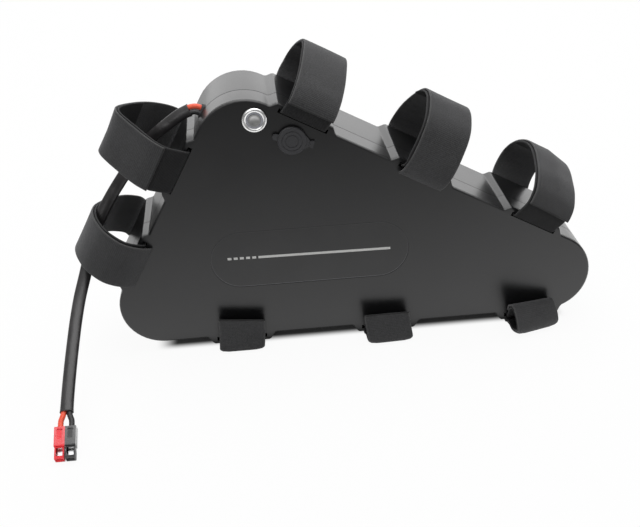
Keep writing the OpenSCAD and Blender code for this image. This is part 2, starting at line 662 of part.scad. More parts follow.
module charge_cap() {
    color([0.13, 0.13, 0.14]) place() at_panel(socket_at, -flange_h - hinge_gap / 2) {
        difference() {
            rotate_extrude($fn = 96) polygon([[0, 0], [cap_d / 2, 0], [cap_d / 2, cap_h * 2 / 3],
                [cap_d / 2 - cap_h / 4, cap_h], [0, cap_h]]);
            for (r = cap_ring_radii) translate([0, 0, cap_h - cap_ring_h]) difference() {
                cylinder(r = r + cap_ring_w, h = cap_ring_h + over);
                translate([0, 0, -over]) cylinder(r = r, h = cap_ring_h + 3 * over);
            }
        }
        translate([0, 0, -plug_len]) cylinder(r = plug_r, h = plug_len + over);
        rotate(anchor_angle) linear_extrude(neck_t) polygon([[cap_d * 0.3, -cap_d * 0.38],
            [hinge_reach, -neck_w / 2], [hinge_reach, neck_w / 2], [cap_d * 0.3, cap_d * 0.38]]);
        rotate(anchor_angle) translate([hinge_reach, neck_w / 2, neck_t]) rotate([90, 0, 0])
            cylinder(r = bead_r, h = neck_w);
        rotate(anchor_angle + 180 + ear_turn) {
            translate([0, -ear_w / 2, 0]) cube([cap_d / 2 + ear_w / 3, ear_w, cap_h * 2 / 3]);
            translate([cap_d / 2 + ear_w / 3, 0, 0]) cylinder(d = ear_w, h = cap_h * 2 / 3);
        }
    }
}
ear_turn = -1;
module cap_anchor() {
    color([0.13, 0.13, 0.14]) place() at_panel(socket_at, 0) rotate(anchor_angle) {
        linear_extrude(flange_h + neck_t) polygon([[hinge_reach + bead_r + hinge_gap / 2, -neck_w / 2],
            [anchor_reach + anchor_len / 2, -anchor_w / 2], [anchor_reach + anchor_len / 2, anchor_w / 2],
            [hinge_reach + bead_r + hinge_gap / 2, neck_w / 2]]);
        translate([anchor_reach, 0, 2 * over - wall]) cylinder(r = stud_r, h = wall);
    }
}

// Output lead. The route starts at the grommet's face and ends in the connector housings.
exit_point = exit_wall + grommet_lip * exit_dir;
exit_run = 3.2;
lead_route = [exit_point - grommet_hold * exit_dir, exit_point + exit_run * exit_dir,
    [37.4, 30, 191.2], [30, 30, 188], [20, 30, 181.5], [6, 30, 171], [-8, 30, 156.5], [-21, 29, 139.5],
    [-31, 27.5, 126], [-40, 24.5, 112.5], [-48, 19.5, 98], [-53.3, 13, 83], [-58.3, 3.4, 68.5],
    [-63, -11, 55.5], [-65.8, -28, 44.5], [-67.4, -46, 35], [-68.4, -66, 26.3], [-69, -87, 17.5],
    [-69.2, -103, 10.5], [-69.2, -109, 7.2], [-69.2, -115.2, 3.75]];
sleeve_first = 2;
sleeve_last = 18;
pair_shift = wire_step / 2;
housing_shift = housing_w / 2;
function splay(i) = i <= sleeve_last ? pair_shift
    : pair_shift + (housing_shift - pair_shift)
        * min(1, (i - sleeve_last) / (len(lead_route) - 2 - sleeve_last));
function tangent(p, i) = unit(p[min(i + 1, len(p) - 1)] - p[max(i - 1, 0)]);
function across(p, i, view = look) = unit(cross(tangent(p, i), view));
function wire_route(side) = [for (i = [0:len(lead_route) - 1])
    lead_route[i] + side * splay(i) * across(lead_route, i)];
sleeve_half_w = wire_step / 2 + wire_d / 2 + 2 * fit;
sleeve_half_t = wire_d / 2 + 4 * fit;
function ring_points(p, i, half_w, half_t, sides, view = look) =
    let (t = tangent(p, i), w = across(p, i, view), v = cross(w, t))
    [for (k = [0:sides - 1]) p[i] + half_w * cos(360 * k / sides) * w + half_t * sin(360 * k / sides) * v];
function tube_faces(n, rings) = [for (i = [0:rings - 2]) for (k = [0:n - 1])
    each [[i * n + k, (i + 1) * n + k, (i + 1) * n + (k + 1) % n],
        [i * n + k, (i + 1) * n + (k + 1) % n, i * n + (k + 1) % n]]];
function flipped(faces, shift) = [for (f = faces) [for (j = [len(f) - 1:-1:0]) f[j] + shift]];
module solid_tube(p, r, sides, view = look) {
    points = [for (i = [0:len(p) - 1]) each ring_points(p, i, r, r, sides, view)];
    first = [for (k = [0:sides - 1]) k];
    last = [for (k = [sides - 1:-1:0]) (len(p) - 1) * sides + k];
    polyhedron(points = points, faces = concat([first], tube_faces(sides, len(p)), [last]));
}
module hollow_tube(p, half_w, half_t, skin, sides) {
    rings = len(p);
    inner = rings * sides;
    points = concat([for (i = [0:rings - 1]) each ring_points(p, i, half_w + skin, half_t + skin, sides)],
        [for (i = [0:rings - 1]) each ring_points(p, i, half_w, half_t, sides)]);
    faces = tube_faces(sides, rings);
    start = [for (k = [0:sides - 1]) [k, (k + 1) % sides, inner + (k + 1) % sides, inner + k]];
    shift = (rings - 1) * sides;
    polyhedron(points = points, faces = concat(faces, flipped(faces, inner), start, flipped(start, shift)));
}
module red_wire() { color([0.85, 0.2, 0.12]) place() solid_tube(wire_route(-1), wire_d / 2, 8); }
module black_wire() { color([0.1, 0.1, 0.1]) place() solid_tube(wire_route(1), wire_d / 2, 8); }
module cable_sleeve() {
    color([0.16, 0.15, 0.16]) place()
        hollow_tube(span(lead_route, sleeve_first, sleeve_last),
            sleeve_half_w, sleeve_half_t, sleeve_wall, 12);
}
module wire_grommet() {
    color([0.07, 0.07, 0.07]) place() at_exit() difference() {
        union() {
            wire_slot(-wall - grommet_flange, grommet_lip, grommet_wall - fit);
            wire_slot(-wall - grommet_flange, -wall, grommet_wall + grommet_flange);
        }
        for (side = [-1, 1]) translate([side * wire_step / 2, 0, -wall - grommet_flange - over])
            cylinder(d = wire_d, h = wall + grommet_flange + grommet_lip + 2 * over);
    }
}

// Connector housings, drawn with the mating end at positive Z and the top at positive Y
lead_end = lead_route[len(lead_route) - 1];
housing_tilt = 30;
hood_len = 9.5;
hood_start = housing_len - hood_len;
hood_drop = 0.9;
mouth_w = 5.6;
mouth_h = 4.6;
window_len = 6.2;
window_w = 5;
window_depth = 2.2;
rib_w = 1.2;
rib_h = 0.5;
pocket_len = 7.5;
pocket_w = 4.2;
pocket_depth = 0.6;
contact_w = 4.6;
contact_t = 1;
wire_bore = 1.5;
module at_housing(side) {
    translate(lead_end + [side * housing_shift, 0, 0]) rotate([90 + housing_tilt, 0, 0])
        translate([0, 0, -wire_bore]) children();
}
module housing() {
    half = housing_w / 2;
    difference() {
        union() {
            translate([-half, -half, 0]) cube([housing_w, housing_w, housing_len - hood_len]);
            translate([-half + rib_h, -half, hood_start])
                cube([housing_w - 2 * rib_h, housing_w - hood_drop, hood_len]);
            translate([-half - rib_h, -rib_w / 2, over]) cube([rib_h, rib_w, hood_start - 2 * over]);
        }
        translate([-mouth_w / 2, -mouth_h / 2, hood_start]) cube([mouth_w, mouth_h, hood_len + over]);
        translate([0, 0, -over]) cylinder(d = wire_d + 2 * fit, h = wire_bore + over);
        translate([-window_w / 2, half - hood_drop - window_depth, housing_len - hood_len + over])
            cube([window_w, window_depth + over, window_len]);
        translate([-pocket_w / 2, half - pocket_depth, 2 * over])
            cube([pocket_w, pocket_depth + over, pocket_len]);
        translate([half - rib_h, -rib_w / 2 - fit, 0]) cube([rib_h + over, rib_w + 2 * fit, hood_start]);
    }
}
module red_connector() { color([0.88, 0.16, 0.16]) place() at_housing(-1) housing(); }
module black_connector() { color([0.13, 0.13, 0.14]) place() at_housing(1) housing(); }
module connector_contacts() {
    color([0.82, 0.82, 0.8]) place() for (side = [-1, 1]) at_housing(side) {
        translate([-contact_w / 2, -mouth_h / 2 + fit, housing_len - hood_len])
            cube([contact_w, contact_t, hood_len - 2 * over]);
    }
}

// Cells stand in rows across the case, staggered so that each row nests in the one below
row_rise = cell_pitch * sin(60);
cell_inset = wall + cell_d / 2 + 3;
top_lane = 10;
function left_x(z, d) = let (p = side_point(0, 0, -d))
    z < p[1] ? -sqrt(max(0, pow(foot_r - d, 2) - pow(z - foot_r, 2)))
    : p[0] + (z - p[1]) * cos(side_angle(0)) / sin(side_angle(0));
function right_x(z, d) = let (p = side_point(1, side_len(1), -d))
    z < p[1] ? base_len + sqrt(max(0, pow(nose_r - d, 2) - pow(z - nose_r, 2)))
    : p[0] + (z - p[1]) * cos(side_angle(1)) / sin(side_angle(1));
row_anchor = left_x(foot_r, cell_inset);
function row_z(k) = cell_inset + over + k * row_rise;
function row_start(k) = row_anchor + (k % 2) * cell_pitch / 2;
function row_cells(k) =
    let (first = ceil((left_x(row_z(k), cell_inset) - row_start(k)) / cell_pitch),
        last = floor((right_x(row_z(k), cell_inset + top_lane) - row_start(k)) / cell_pitch))
    [for (j = [first:last]) [row_start(k) + j * cell_pitch, row_z(k)]];
cell_places = [for (k = [0:cell_rows - 1]) each row_cells(k)];
clear_of_boss = boss_r + cell_d / 2 + 2;
function boss_distance(p) = min([for (b = bosses) norm(p - b)]);
kept_places = [for (p = cell_places) if (boss_distance(p) > clear_of_boss) p];
echo(cells = len(kept_places), all_places = len(cell_places));
cells_y = (case_t - cell_len) / 2;
cell_tip_r = 3.2;
cell_tip_h = 0.8;
module cells() {
    color([0.25, 0.55, 0.4]) place() for (p = kept_places) at_panel(p, cells_y + cell_len) {
        cylinder(d = cell_d, h = cell_len - cell_tip_h);
        translate([0, 0, cell_len - cell_tip_h]) cylinder(r = cell_tip_r, h = cell_tip_h);
    }
}
holder_r = cell_d / 2 + 1.2;
function kept_row(k) = [for (p = row_cells(k)) if (boss_distance(p) > clear_of_boss) p];
module holder_shape() {
    difference() {
        for (k = [0:cell_rows - 1]) {
            row = kept_row(k);
            first = row[0];
            last = row[len(row) - 1];
            for (p = [first, last]) translate(p) circle(holder_r);
            translate(first - [0, holder_r]) square([last[0] - first[0], 2 * holder_r]);
        }
        for (p = kept_places) translate(p) circle(d = cell_d + 2 * fit);
    }
}
module front_cell_holder() {
    color([0.2, 0.2, 0.22]) place() slab(cells_y, cells_y + holder_t) holder_shape();
}
module rear_cell_holder() {
    color([0.2, 0.2, 0.22]) place() slab(case_t - cells_y - holder_t, case_t - cells_y) holder_shape();
}
strip_t = 0.2;
strip_w = 8;
module strips() {
    for (k = [0:cell_rows - 1]) {
        row = kept_row(k);
        translate(row[0] - [strip_w / 2, strip_w / 2])
            square([row[len(row) - 1][0] - row[0][0] + strip_w, strip_w]);
    }
}
module front_nickel_strips() {
    color([0.75, 0.74, 0.7]) place() slab(cells_y - strip_t, cells_y) strips();
}
module rear_nickel_strips() {
    color([0.75, 0.74, 0.7]) place() slab(case_t - cells_y, case_t - cells_y + strip_t) strips();
}
module foam_shape() {
    for (k = [0:cell_rows - 1]) {
        row = kept_row(k);
        translate(row[0] - [0, row_rise / 2]) square([row[len(row) - 1][0] - row[0][0], row_rise]);
    }
}
module front_foam() {
    color([0.3, 0.3, 0.3]) place() slab(wall, cells_y - strip_t) foam_shape();
}
module rear_foam() {
    color([0.3, 0.3, 0.3]) place() slab(case_t - cells_y + strip_t, case_t - wall) foam_shape();
}

// Protection board on foam above the top row of cells
board_len = 104;
board_d = 56;
board_t = 1.6;
board_foam_t = 3;
part_h = 5;
plate_t = 3;
board_x = row_cells(cell_rows - 1)[0][0] + 8;
board_z = row_z(cell_rows - 1) + holder_r + board_foam_t;
board_y = (case_t - board_d) / 2;
fet_w = 9;
fet_step = board_len / 9;
fet_rows = 6;
bank_x = board_x + board_len - fet_rows * fet_step;
board_top = board_z + board_t;
module board_foam() {
    color([0.35, 0.35, 0.35]) place() translate([board_x, board_y, board_z - board_foam_t])
        cube([board_len, board_d, board_foam_t]);
}
module protection_board() {
    color([0.1, 0.35, 0.2]) place() translate([board_x, board_y, board_z])
        cube([board_len, board_d, board_t]);
}
module board_parts() {
    color([0.15, 0.15, 0.15]) place() for (i = [0:fet_rows - 1]) for (j = [0:2])
        translate([bank_x + i * fet_step, board_y + board_d / 8 + j * board_d / 4, board_top])
            cube([fet_w, board_d / 5, part_h]);
}
module heat_plate() {
    color([0.8, 0.8, 0.82]) place() translate([bank_x, board_y, board_top + part_h])
        cube([fet_rows * fet_step, board_d, plate_t]);
}
fuse_size = [12, 22, 9];
module main_fuse() {
    color([0.8, 0.5, 0.1]) place() translate([board_x + over, board_y + over, board_top])
        cube(fuse_size);
}

// Inner wiring, each a plain round lead along its own route
lead_r = 1.1;
inner_start = exit_point - grommet_hold * exit_dir;
inner_place = board_x + board_len * 0.18;
charge_place = board_x + board_len * 0.24;
switch_place = board_x + board_len * 0.3;
inner_route = [inner_start, inner_start - 7 * exit_dir, [60, 31, 176], [64, 33, 164], [inner_place, 36, 152],
    [inner_place, 36, board_top]];
inner_turn = [0, wire_step / 2, 0];
function inner_wire(side) = [for (i = [0:len(inner_route) - 1])
    inner_route[i] + side * (i < 2 ? wire_step / 2 * exit_across : inner_turn)];
function beside(p, shift) = [for (q = p) q + shift];
module inner_leads() {
    color([0.5, 0.12, 0.1]) place() for (side = [-1, 1])
        solid_tube(inner_wire(side), wire_d / 2, 8);
}
switch_tail = [switch_at[0] + pin_ring * cos(45), switch_depth + base_h + pin_len,
    switch_at[1] - pin_ring * sin(45)];
switch_route = [switch_tail, switch_tail + [0, 4, 0], switch_tail + [-1.5, 9, -6], [83, 50, 170],
    [79, 53, 156], [switch_place, 54, 143], [switch_place, 54, board_top + fit]];
module switch_leads() {
    color([0.2, 0.3, 0.7]) place() for (shift = [0, -2 * pin_ring * cos(45)])
        solid_tube(beside(switch_route, [shift, 0, 0]), lead_r, 6, [1, 0, 0]);
}
socket_tail = [socket_at[0], socket_depth, socket_at[1]];
charge_route = [socket_tail, socket_tail + [0, 4, 0], [108, 32, 167], [98, 38, 158], [86, 42, 151],
    [76, 44, 143], [charge_place, 45, 137], [charge_place, 45, board_top + fit]];
module charge_leads() {
    color([0.7, 0.15, 0.12]) place() for (shift = [-2, 2])
        solid_tube(beside(charge_route, [shift, 0, 0]), lead_r, 6, [1, 0, 0]);
}

front_cover();
rear_shell();
case_seal();
case_screws();
screw_inserts();
label_plate();
left_lower_hook_tape();
left_lower_loop_tape();
left_upper_hook_tape();
left_upper_loop_tape();
top_first_hook_tape();
top_first_loop_tape();
top_middle_hook_tape();
top_middle_loop_tape();
top_last_hook_tape();
top_last_loop_tape();
base_last_hook_tape();
base_last_loop_tape();
base_middle_hook_tape();
base_middle_loop_tape();
base_first_hook_tape();
base_first_loop_tape();
switch_body();
switch_light_ring();
power_button();
switch_seal();
switch_nut();
switch_base();
charge_socket();
charge_pin();
charge_nut();
charge_cap();
cap_anchor();
wire_grommet();
red_wire();
black_wire();
cable_sleeve();
red_connector();
black_connector();
connector_contacts();
cells();
front_cell_holder();
rear_cell_holder();
front_nickel_strips();
rear_nickel_strips();
front_foam();
rear_foam();
board_foam();
protection_board();
board_parts();
heat_plate();
main_fuse();
inner_leads();
switch_leads();
charge_leads();
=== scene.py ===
"""Looks for the triangular bicycle battery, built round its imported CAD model."""
import math
import bmesh
import bpy
from mathutils import Matrix, Vector


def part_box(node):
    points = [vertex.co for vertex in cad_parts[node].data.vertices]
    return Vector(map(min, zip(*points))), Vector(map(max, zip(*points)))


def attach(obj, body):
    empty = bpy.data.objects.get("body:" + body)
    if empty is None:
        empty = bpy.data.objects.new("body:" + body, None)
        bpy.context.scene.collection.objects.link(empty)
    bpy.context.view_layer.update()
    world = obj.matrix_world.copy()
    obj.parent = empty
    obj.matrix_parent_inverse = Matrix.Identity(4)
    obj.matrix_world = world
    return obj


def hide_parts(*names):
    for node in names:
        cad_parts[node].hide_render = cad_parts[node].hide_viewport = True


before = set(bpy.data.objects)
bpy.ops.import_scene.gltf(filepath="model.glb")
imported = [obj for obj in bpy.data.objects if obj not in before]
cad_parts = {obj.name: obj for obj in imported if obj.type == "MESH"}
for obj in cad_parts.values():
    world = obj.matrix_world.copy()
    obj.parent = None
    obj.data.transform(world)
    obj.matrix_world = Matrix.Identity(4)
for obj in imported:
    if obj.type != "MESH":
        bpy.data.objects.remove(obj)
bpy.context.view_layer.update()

MM = 0.001
BODY = "case"

# Case places in millimetres, as in the part's source: X from the foot round's centre, Y from the
# switch face, Z from the base line. The row frame is found from the cover's own box.
CASE_T = 75.0
FOOT_R = 35.0
PEAK_R = 38.0
NOSE_R = 35.4
BASE_LEN = 324.0
PEAK = (78.0, 168.5)
LAND_TOP = 4.8
BASE_LAND = 6.8
cover_low, cover_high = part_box("front_cover")
SHIFT = Vector((cover_high[0] - (BASE_LEN + NOSE_R) * MM, cover_low[1], cover_low[2] + BASE_LAND * MM))


def row(x, y, z):
    """A case place in millimetres as a point in the row frame, in metres."""
    return SHIFT + Vector((x, y, z)) * MM


def placed(name, data):
    """A new object in the scene."""
    piece = bpy.data.objects.new(name, data)
    bpy.context.scene.collection.objects.link(piece)
    return piece


def clamp(value, low=0.0, high=1.0):
    return min(high, max(low, value))


# Camera, fitted to the outline of the case in the photograph: its angles, its place and its lens
YAW, PITCH, ROLL = -0.07326, -0.49873, -0.04505
CAMERA_AT = (78.41, -723.441, 457.7405)
FOCAL_PX = 1008.45
IMAGE_W_PX = 640
SENSOR = 36.0
CLIP_START = 0.01


def make_camera():
    ahead = Vector((-math.sin(YAW) * math.cos(PITCH), math.cos(YAW) * math.cos(PITCH), math.sin(PITCH)))
    right = Vector((math.cos(YAW), math.sin(YAW), 0.0))
    up = right.cross(ahead)
    side = right * math.cos(ROLL) + up * math.sin(ROLL)
    top = up * math.cos(ROLL) - right * math.sin(ROLL)
    data = bpy.data.cameras.new("camera")
    data.sensor_width = SENSOR
    data.lens = FOCAL_PX / IMAGE_W_PX * SENSOR
    data.clip_start = CLIP_START
    camera = placed("camera", data)
    at = row(*CAMERA_AT)
    camera.matrix_world = Matrix((
        (side.x, top.x, -ahead.x, at.x),
        (side.y, top.y, -ahead.y, at.y),
        (side.z, top.z, -ahead.z, at.z),
        (0.0, 0.0, 0.0, 1.0),
    ))
    bpy.context.scene.camera = camera


make_camera()


# Shader graphs as plain expressions
class Field:
    """A shader socket that joins others, and plain numbers, by arithmetic."""

    def __init__(self, tree, socket):
        self.tree = tree
        self.socket = socket

    def math(self, kind, *values):
        node = self.tree.nodes.new("ShaderNodeMath")
        node.operation = kind
        for slot, value in zip(node.inputs, values):
            feed(self.tree, slot, value)
        return Field(self.tree, node.outputs[0])

    def __add__(self, other):
        return self.math("ADD", self, other)

    def __radd__(self, other):
        return self.math("ADD", other, self)

    def __sub__(self, other):
        return self.math("SUBTRACT", self, other)

    def __rsub__(self, other):
        return self.math("SUBTRACT", other, self)

    def __mul__(self, other):
        return self.math("MULTIPLY", self, other)

    def __rmul__(self, other):
        return self.math("MULTIPLY", other, self)

    def __truediv__(self, other):
        return self.math("DIVIDE", self, other)

    def __pow__(self, other):
        return self.math("POWER", self, other)

    def __gt__(self, other):
        return self.math("GREATER_THAN", self, other)

    def __lt__(self, other):
        return self.math("LESS_THAN", self, other)

    def sin(self):
        return self.math("SINE", self)

    def abs(self):
        return self.math("ABSOLUTE", self)

    def least(self, other):
        return self.math("MINIMUM", self, other)

    def most(self, other):
        return self.math("MAXIMUM", self, other)

    def step(self, low, high):
        """0 below low and 1 above high, smooth between."""
        return Made(self.tree, "ShaderNodeMapRange", {"interpolation_type": "SMOOTHSTEP"},
                    {"Value": self, "From Min": low, "From Max": high})["Result"]


class Made:
    """Any other node: its type, its settings, then its values and links."""

    def __init__(self, tree, kind, settings=None, values=None):
        self.tree = tree
        self.made = tree.nodes.new(kind)
        for key, value in (settings or {}).items():
            setattr(self.made, key, value)
        for key, value in (values or {}).items():
            feed(tree, self.made.inputs[key], value)

    def __getitem__(self, key):
        return Field(self.tree, self.made.outputs[key])


def feed(tree, slot, value):
    """Links a field into a socket, or sets the socket's own value."""
    if isinstance(value, Field):
        tree.links.new(value.socket, slot)
    elif isinstance(value, (tuple, list)) and len(value) == 3 and slot.type == "RGBA":
        slot.default_value = (*value, 1.0)
    else:
        slot.default_value = value


def grey(tree, value):
    """A number as a colour."""
    return Made(tree, "ShaderNodeCombineColor", None, {"Red": value, "Green": value, "Blue": value})["Color"]


def rays(tree):
    """Whether a ray comes straight from the camera, and whether it was mirrored or bent on its way."""
    path = Made(tree, "ShaderNodeLightPath")
    return path["Is Camera Ray"], path["Is Glossy Ray"].most(path["Is Transmission Ray"])


# The sockets of a colour mix by number, because several of them share one name
MIX_SHARE, MIX_FIRST, MIX_SECOND, MIX_RESULT = 0, 6, 7, 2


class Paint:
    """A new material with its principled shader and its usual coordinates."""

    def __init__(self, name):
        self.material = bpy.data.materials.new(name)
        self.material.use_nodes = True
        self.tree = self.material.node_tree
        self.shader = self.tree.nodes["Principled BSDF"]

    def node(self, kind, settings=None, values=None):
        return Made(self.tree, kind, settings, values)

    def place(self):
        return self.node("ShaderNodeTexCoord")["Object"]

    def parts(self, vector):
        split = self.node("ShaderNodeSeparateXYZ", None, {"Vector": vector})
        return split["X"], split["Y"], split["Z"]

    def noise(self, vector, scale, detail=2.0, rough=0.5):
        values = {"Vector": vector, "Scale": scale, "Detail": detail, "Roughness": rough}
        return self.node("ShaderNodeTexNoise", None, values)["Fac"]

    def mix(self, share, first, second):
        """A colour between two others."""
        values = {MIX_SHARE: share, MIX_FIRST: first, MIX_SECOND: second}
        return self.node("ShaderNodeMix", {"data_type": "RGBA"}, values)[MIX_RESULT]

    def bump(self, height, depth):
        """Raises the surface by a height, at a depth in metres."""
        values = {"Height": height, "Distance": depth, "Strength": 1.0}
        self.put("Normal", self.node("ShaderNodeBump", None, values)["Normal"])

    def put(self, name, value):
        feed(self.tree, self.shader.inputs[name], value)

    def puts(self, **values):
        for name, value in values.items():
            self.put(name.replace("_", " "), value)
        return self


# Noise scales that finishes share: slow drift over a moulding, grain of smooth plastic, wear of metal, and
# how much finer the streaks of brushed metal are across than along
DRIFT_SCALE = 14.0
PLASTIC_GRAIN = 1500.0
WEAR_SCALE = 180.0
BRUSH_PULL = 12.0
# The middle of a noise's range, over which a colour runs from dark to light
NOISE_SPAN = (0.3, 0.7)
# Case plastic and the label's film have the same colours and refraction
CASE_DARK, CASE_LIGHT = (0.0045, 0.0045, 0.005), (0.0075, 0.0075, 0.008)
CASE_IOR = 1.53


def moulded(name, dark, light, roughness, grain_scale, grain_depth, **shader):
    """Moulded plastic or rubber: a fine grain, slow colour drift and uneven gloss."""
    paint = Paint(name)
    at = paint.place()
    drift = paint.noise(at, DRIFT_SCALE, 3.0)
    speck = paint.noise(at, grain_scale * 0.31, 2.0)
    grain = paint.noise(at, grain_scale, 2.0, 0.6)
    paint.put("Base Color", paint.mix((drift * 0.7 + speck * 0.3).step(*NOISE_SPAN), dark, light))
    paint.put("Roughness", roughness + (drift - 0.5) * 0.10 + (grain - 0.5) * 0.08)
    paint.bump(grain, grain_depth)
    return paint.puts(**shader)


def metal(name, dark, light, roughness, brush_scale, brush_depth):
    """Turned or brushed metal: fine streaks and patches of wear."""
    paint = Paint(name)
    at = paint.place()
    x, y, z = paint.parts(at)
    drawn = paint.node("ShaderNodeCombineXYZ", None, {"X": x, "Y": y * BRUSH_PULL, "Z": z})["Vector"]
    streak = paint.noise(drawn, brush_scale, 2.0)
    wear = paint.noise(at, WEAR_SCALE, 3.0)
    paint.put("Base Color", paint.mix(wear.step(0.35, 0.7), dark, light))
    paint.put("Metallic", 1.0)
    paint.put("Roughness", roughness + (streak - 0.5) * 0.12 + (wear - 0.5) * 0.10)
    paint.bump(streak, brush_depth)
    return paint


def case_plastic():
    """Case plastic: a fine leather grain with slow drift in tone and gloss."""
    paint = Paint("case_plastic")
    at = paint.place()
    drift = paint.noise(at, DRIFT_SCALE, 3.0)
    speck = paint.noise(at, 800.0, 2.0)
    grain = paint.noise(at, PLASTIC_GRAIN, 2.0, 0.6)
    paint.put("Base Color", paint.mix((drift * 0.7 + speck * 0.3).step(*NOISE_SPAN), CASE_DARK, CASE_LIGHT))
    paint.put("Roughness", 0.31 + (drift - 0.5) * 0.08 + (grain - 0.5) * 0.08)
    paint.bump(grain + speck * 0.5, 0.00002)
    return paint.puts(IOR=CASE_IOR)


# Connector housings: where the thumb ramp and the mouth lie, as shares of the length and of the half width
RAMP_START, RAMP_END, RAMP_SIDE = (0.17, 0.21), (0.44, 0.5), (0.32, 0.5)
MOUTH_START = (0.64, 0.67)


def housing(name, node, dark, light):
    """Connector housing: polished along its sides, duller on the thumb ramp and round the mouth."""
    low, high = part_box(node)
    middle, half = (low[0] + high[0]) / 2, (high[0] - low[0]) / 2
    paint = Paint(name)
    at = paint.place()
    x, y, _ = paint.parts(at)
    # From 0 at the wire end to 1 at the mouth, and from 0 in the middle to 1 at the sides
    along = (high[1] - y) / (high[1] - low[1])
    aside = ((x - middle) / half).abs().least(1.0)
    ramp = (1.0 - aside.step(*RAMP_SIDE)) * along.step(*RAMP_START) * (1.0 - along.step(*RAMP_END))
    mouth = along.step(*MOUTH_START)
    drift = paint.noise(at, 60.0, 3.0)
    grain = paint.noise(at, PLASTIC_GRAIN, 2.0, 0.6)
    paint.put("Base Color", paint.mix(drift.step(*NOISE_SPAN), dark, light))
    paint.put("Coat Weight", (1.0 - ramp * 0.8) * (1.0 - mouth) * (0.75 + aside * 0.25))
    paint.put("Roughness", 0.34 + mouth * 0.14 + (drift - 0.5) * 0.1 + (grain - 0.5) * 0.08)
    paint.bump(grain, 0.00001)
    return paint.puts(IOR=1.5, Coat_Roughness=0.14, Coat_IOR=1.8)


case_paint = case_plastic()
rubber_paint = moulded("black_rubber", (0.02, 0.02, 0.0225), (0.028, 0.028, 0.031), 0.55, 1800.0, 0.00002)
black_paint = moulded("black_plastic", (0.012, 0.012, 0.012), (0.018, 0.018, 0.019), 0.4, 2200.0, 0.00001)
red_housing_paint = housing("red_housing", "red_connector", (0.7, 0.01, 0.02), (0.82, 0.02, 0.032))
black_housing_paint = housing("black_housing", "black_connector", (0.008, 0.008, 0.009),
                              (0.014, 0.014, 0.016))
red_wire_paint = moulded("red_silicone", (0.8, 0.08, 0.035), (0.92, 0.13, 0.06), 0.45, 900.0, 0.00002)
black_wire_paint = moulded("black_silicone", (0.012, 0.012, 0.013), (0.02, 0.02, 0.022), 0.5, 900.0,
                           0.00002)
seal_paint = moulded("seal_rubber", (0.01, 0.01, 0.01), (0.015, 0.015, 0.015), 0.7, 900.0, 0.00001)
switch_paint = metal("switch_metal", (0.86, 0.86, 0.86), (0.95, 0.95, 0.94), 0.27, 1500.0, 0.000004)
button_paint = metal("button_metal", (0.5, 0.5, 0.5), (0.58, 0.58, 0.57), 0.3, 1500.0, 0.000002)
screw_paint = metal("screw_steel", (0.45, 0.45, 0.46), (0.58, 0.58, 0.6), 0.34, 1800.0, 0.000006)
brass_paint = metal("brass", (0.62, 0.42, 0.15), (0.78, 0.58, 0.26), 0.3, 1800.0, 0.000006)
contact_paint = metal("contact_plate", (0.7, 0.7, 0.71), (0.85, 0.85, 0.86), 0.24, 2500.0, 0.000004)
lens_paint = moulded("switch_lens", (0.21, 0.215, 0.24), (0.28, 0.285, 0.315), 0.3, 900.0, 0.000004,
                     Coat_Weight=0.6)
hidden_paint = moulded("inner_parts", (0.05, 0.12, 0.07), (0.08, 0.18, 0.1), 0.5, 800.0, 0.00001)
nickel_paint = metal("nickel", (0.5, 0.48, 0.45), (0.62, 0.6, 0.56), 0.36, 1200.0, 0.000006)

# Label: the middle and the size of its field. Its rule: how it slopes and how high it lies at the middle, half
# its width, its two ends, how soft its long sides and its ends are, and its dashes
LABEL_AT = row(124.0, 0.5, 71.5)
LABEL_LEN = 162.0
LABEL_W = 50.0
RULE_SLOPE = -0.0108
RULE_RISE = 0.98
RULE_HALF = 1.05
RULE_FROM = -67.3
RULE_TO = 65.75
RULE_BLUR = (0.12, 0.15)
DASH_STEP = 5.0
DASH_SHARE = 0.64
DASHES = 5
INK = (0.5, 0.5, 0.49)
# A painted highlight on the film's cut edge: how far inside the field it starts and is full, how far under the
# middle it starts to grow, and its colour
FILM_EDGE = (0.95, 0.55)
FILM_EDGE_FROM = -6.0
FILM_EDGE_PAINTED_HIGHLIGHT = (0.09, 0.09, 0.095)


def label_film():
    """Printed film in the stadium field: a dashed rule that runs on into a plain one, and a painted highlight
    on its cut edge.
    """
    paint = Paint("label_film")
    at = paint.place()
    x, y, z = paint.parts(at)
    along = (x - LABEL_AT.x) / MM
    rise = (z - LABEL_AT.z) / MM - along * RULE_SLOPE - RULE_RISE
    soft, end_soft = RULE_BLUR
    band = 1.0 - rise.abs().step(RULE_HALF - soft, RULE_HALF + soft)
    inside = (along.step(RULE_FROM - end_soft, RULE_FROM + end_soft)
              * (1.0 - along.step(RULE_TO - end_soft, RULE_TO + end_soft)))
    phase = (along - RULE_FROM) / DASH_STEP
    dash = phase.math("FRACT", phase) < DASH_SHARE
    solid = along > RULE_FROM + DASH_STEP * DASHES
    ink = band * inside * dash.most(solid)
    grain = paint.noise(at, 2400.0, 2.0)
    drift = paint.noise(at, 30.0, 3.0)
    film = paint.mix(drift.step(*NOISE_SPAN), CASE_DARK, CASE_LIGHT)
    # Painted highlight: the cut edge of the film is painted lighter, most of all along the bottom, where it
    # would catch the floor's light
    below = (LABEL_AT.z - z) / MM
    end = (along.abs() - (LABEL_LEN - LABEL_W) / 2).most(0.0)
    reach = (end * end + below * below) ** 0.5
    edge = reach.step(LABEL_W / 2 - FILM_EDGE[0], LABEL_W / 2 - FILM_EDGE[1])
    film = paint.mix(edge * (0.2 + 0.8 * below.step(FILM_EDGE_FROM, LABEL_W / 2)), film, FILM_EDGE_PAINTED_HIGHLIGHT)
    paint.put("Base Color", paint.mix(ink, film, INK))
    paint.put("Roughness", 0.32 + (grain - 0.5) * 0.1 + ink * 0.1)
    paint.bump(grain * 0.4 + ink, 0.00002)
    return paint.puts(IOR=CASE_IOR)


label_paint = label_film()
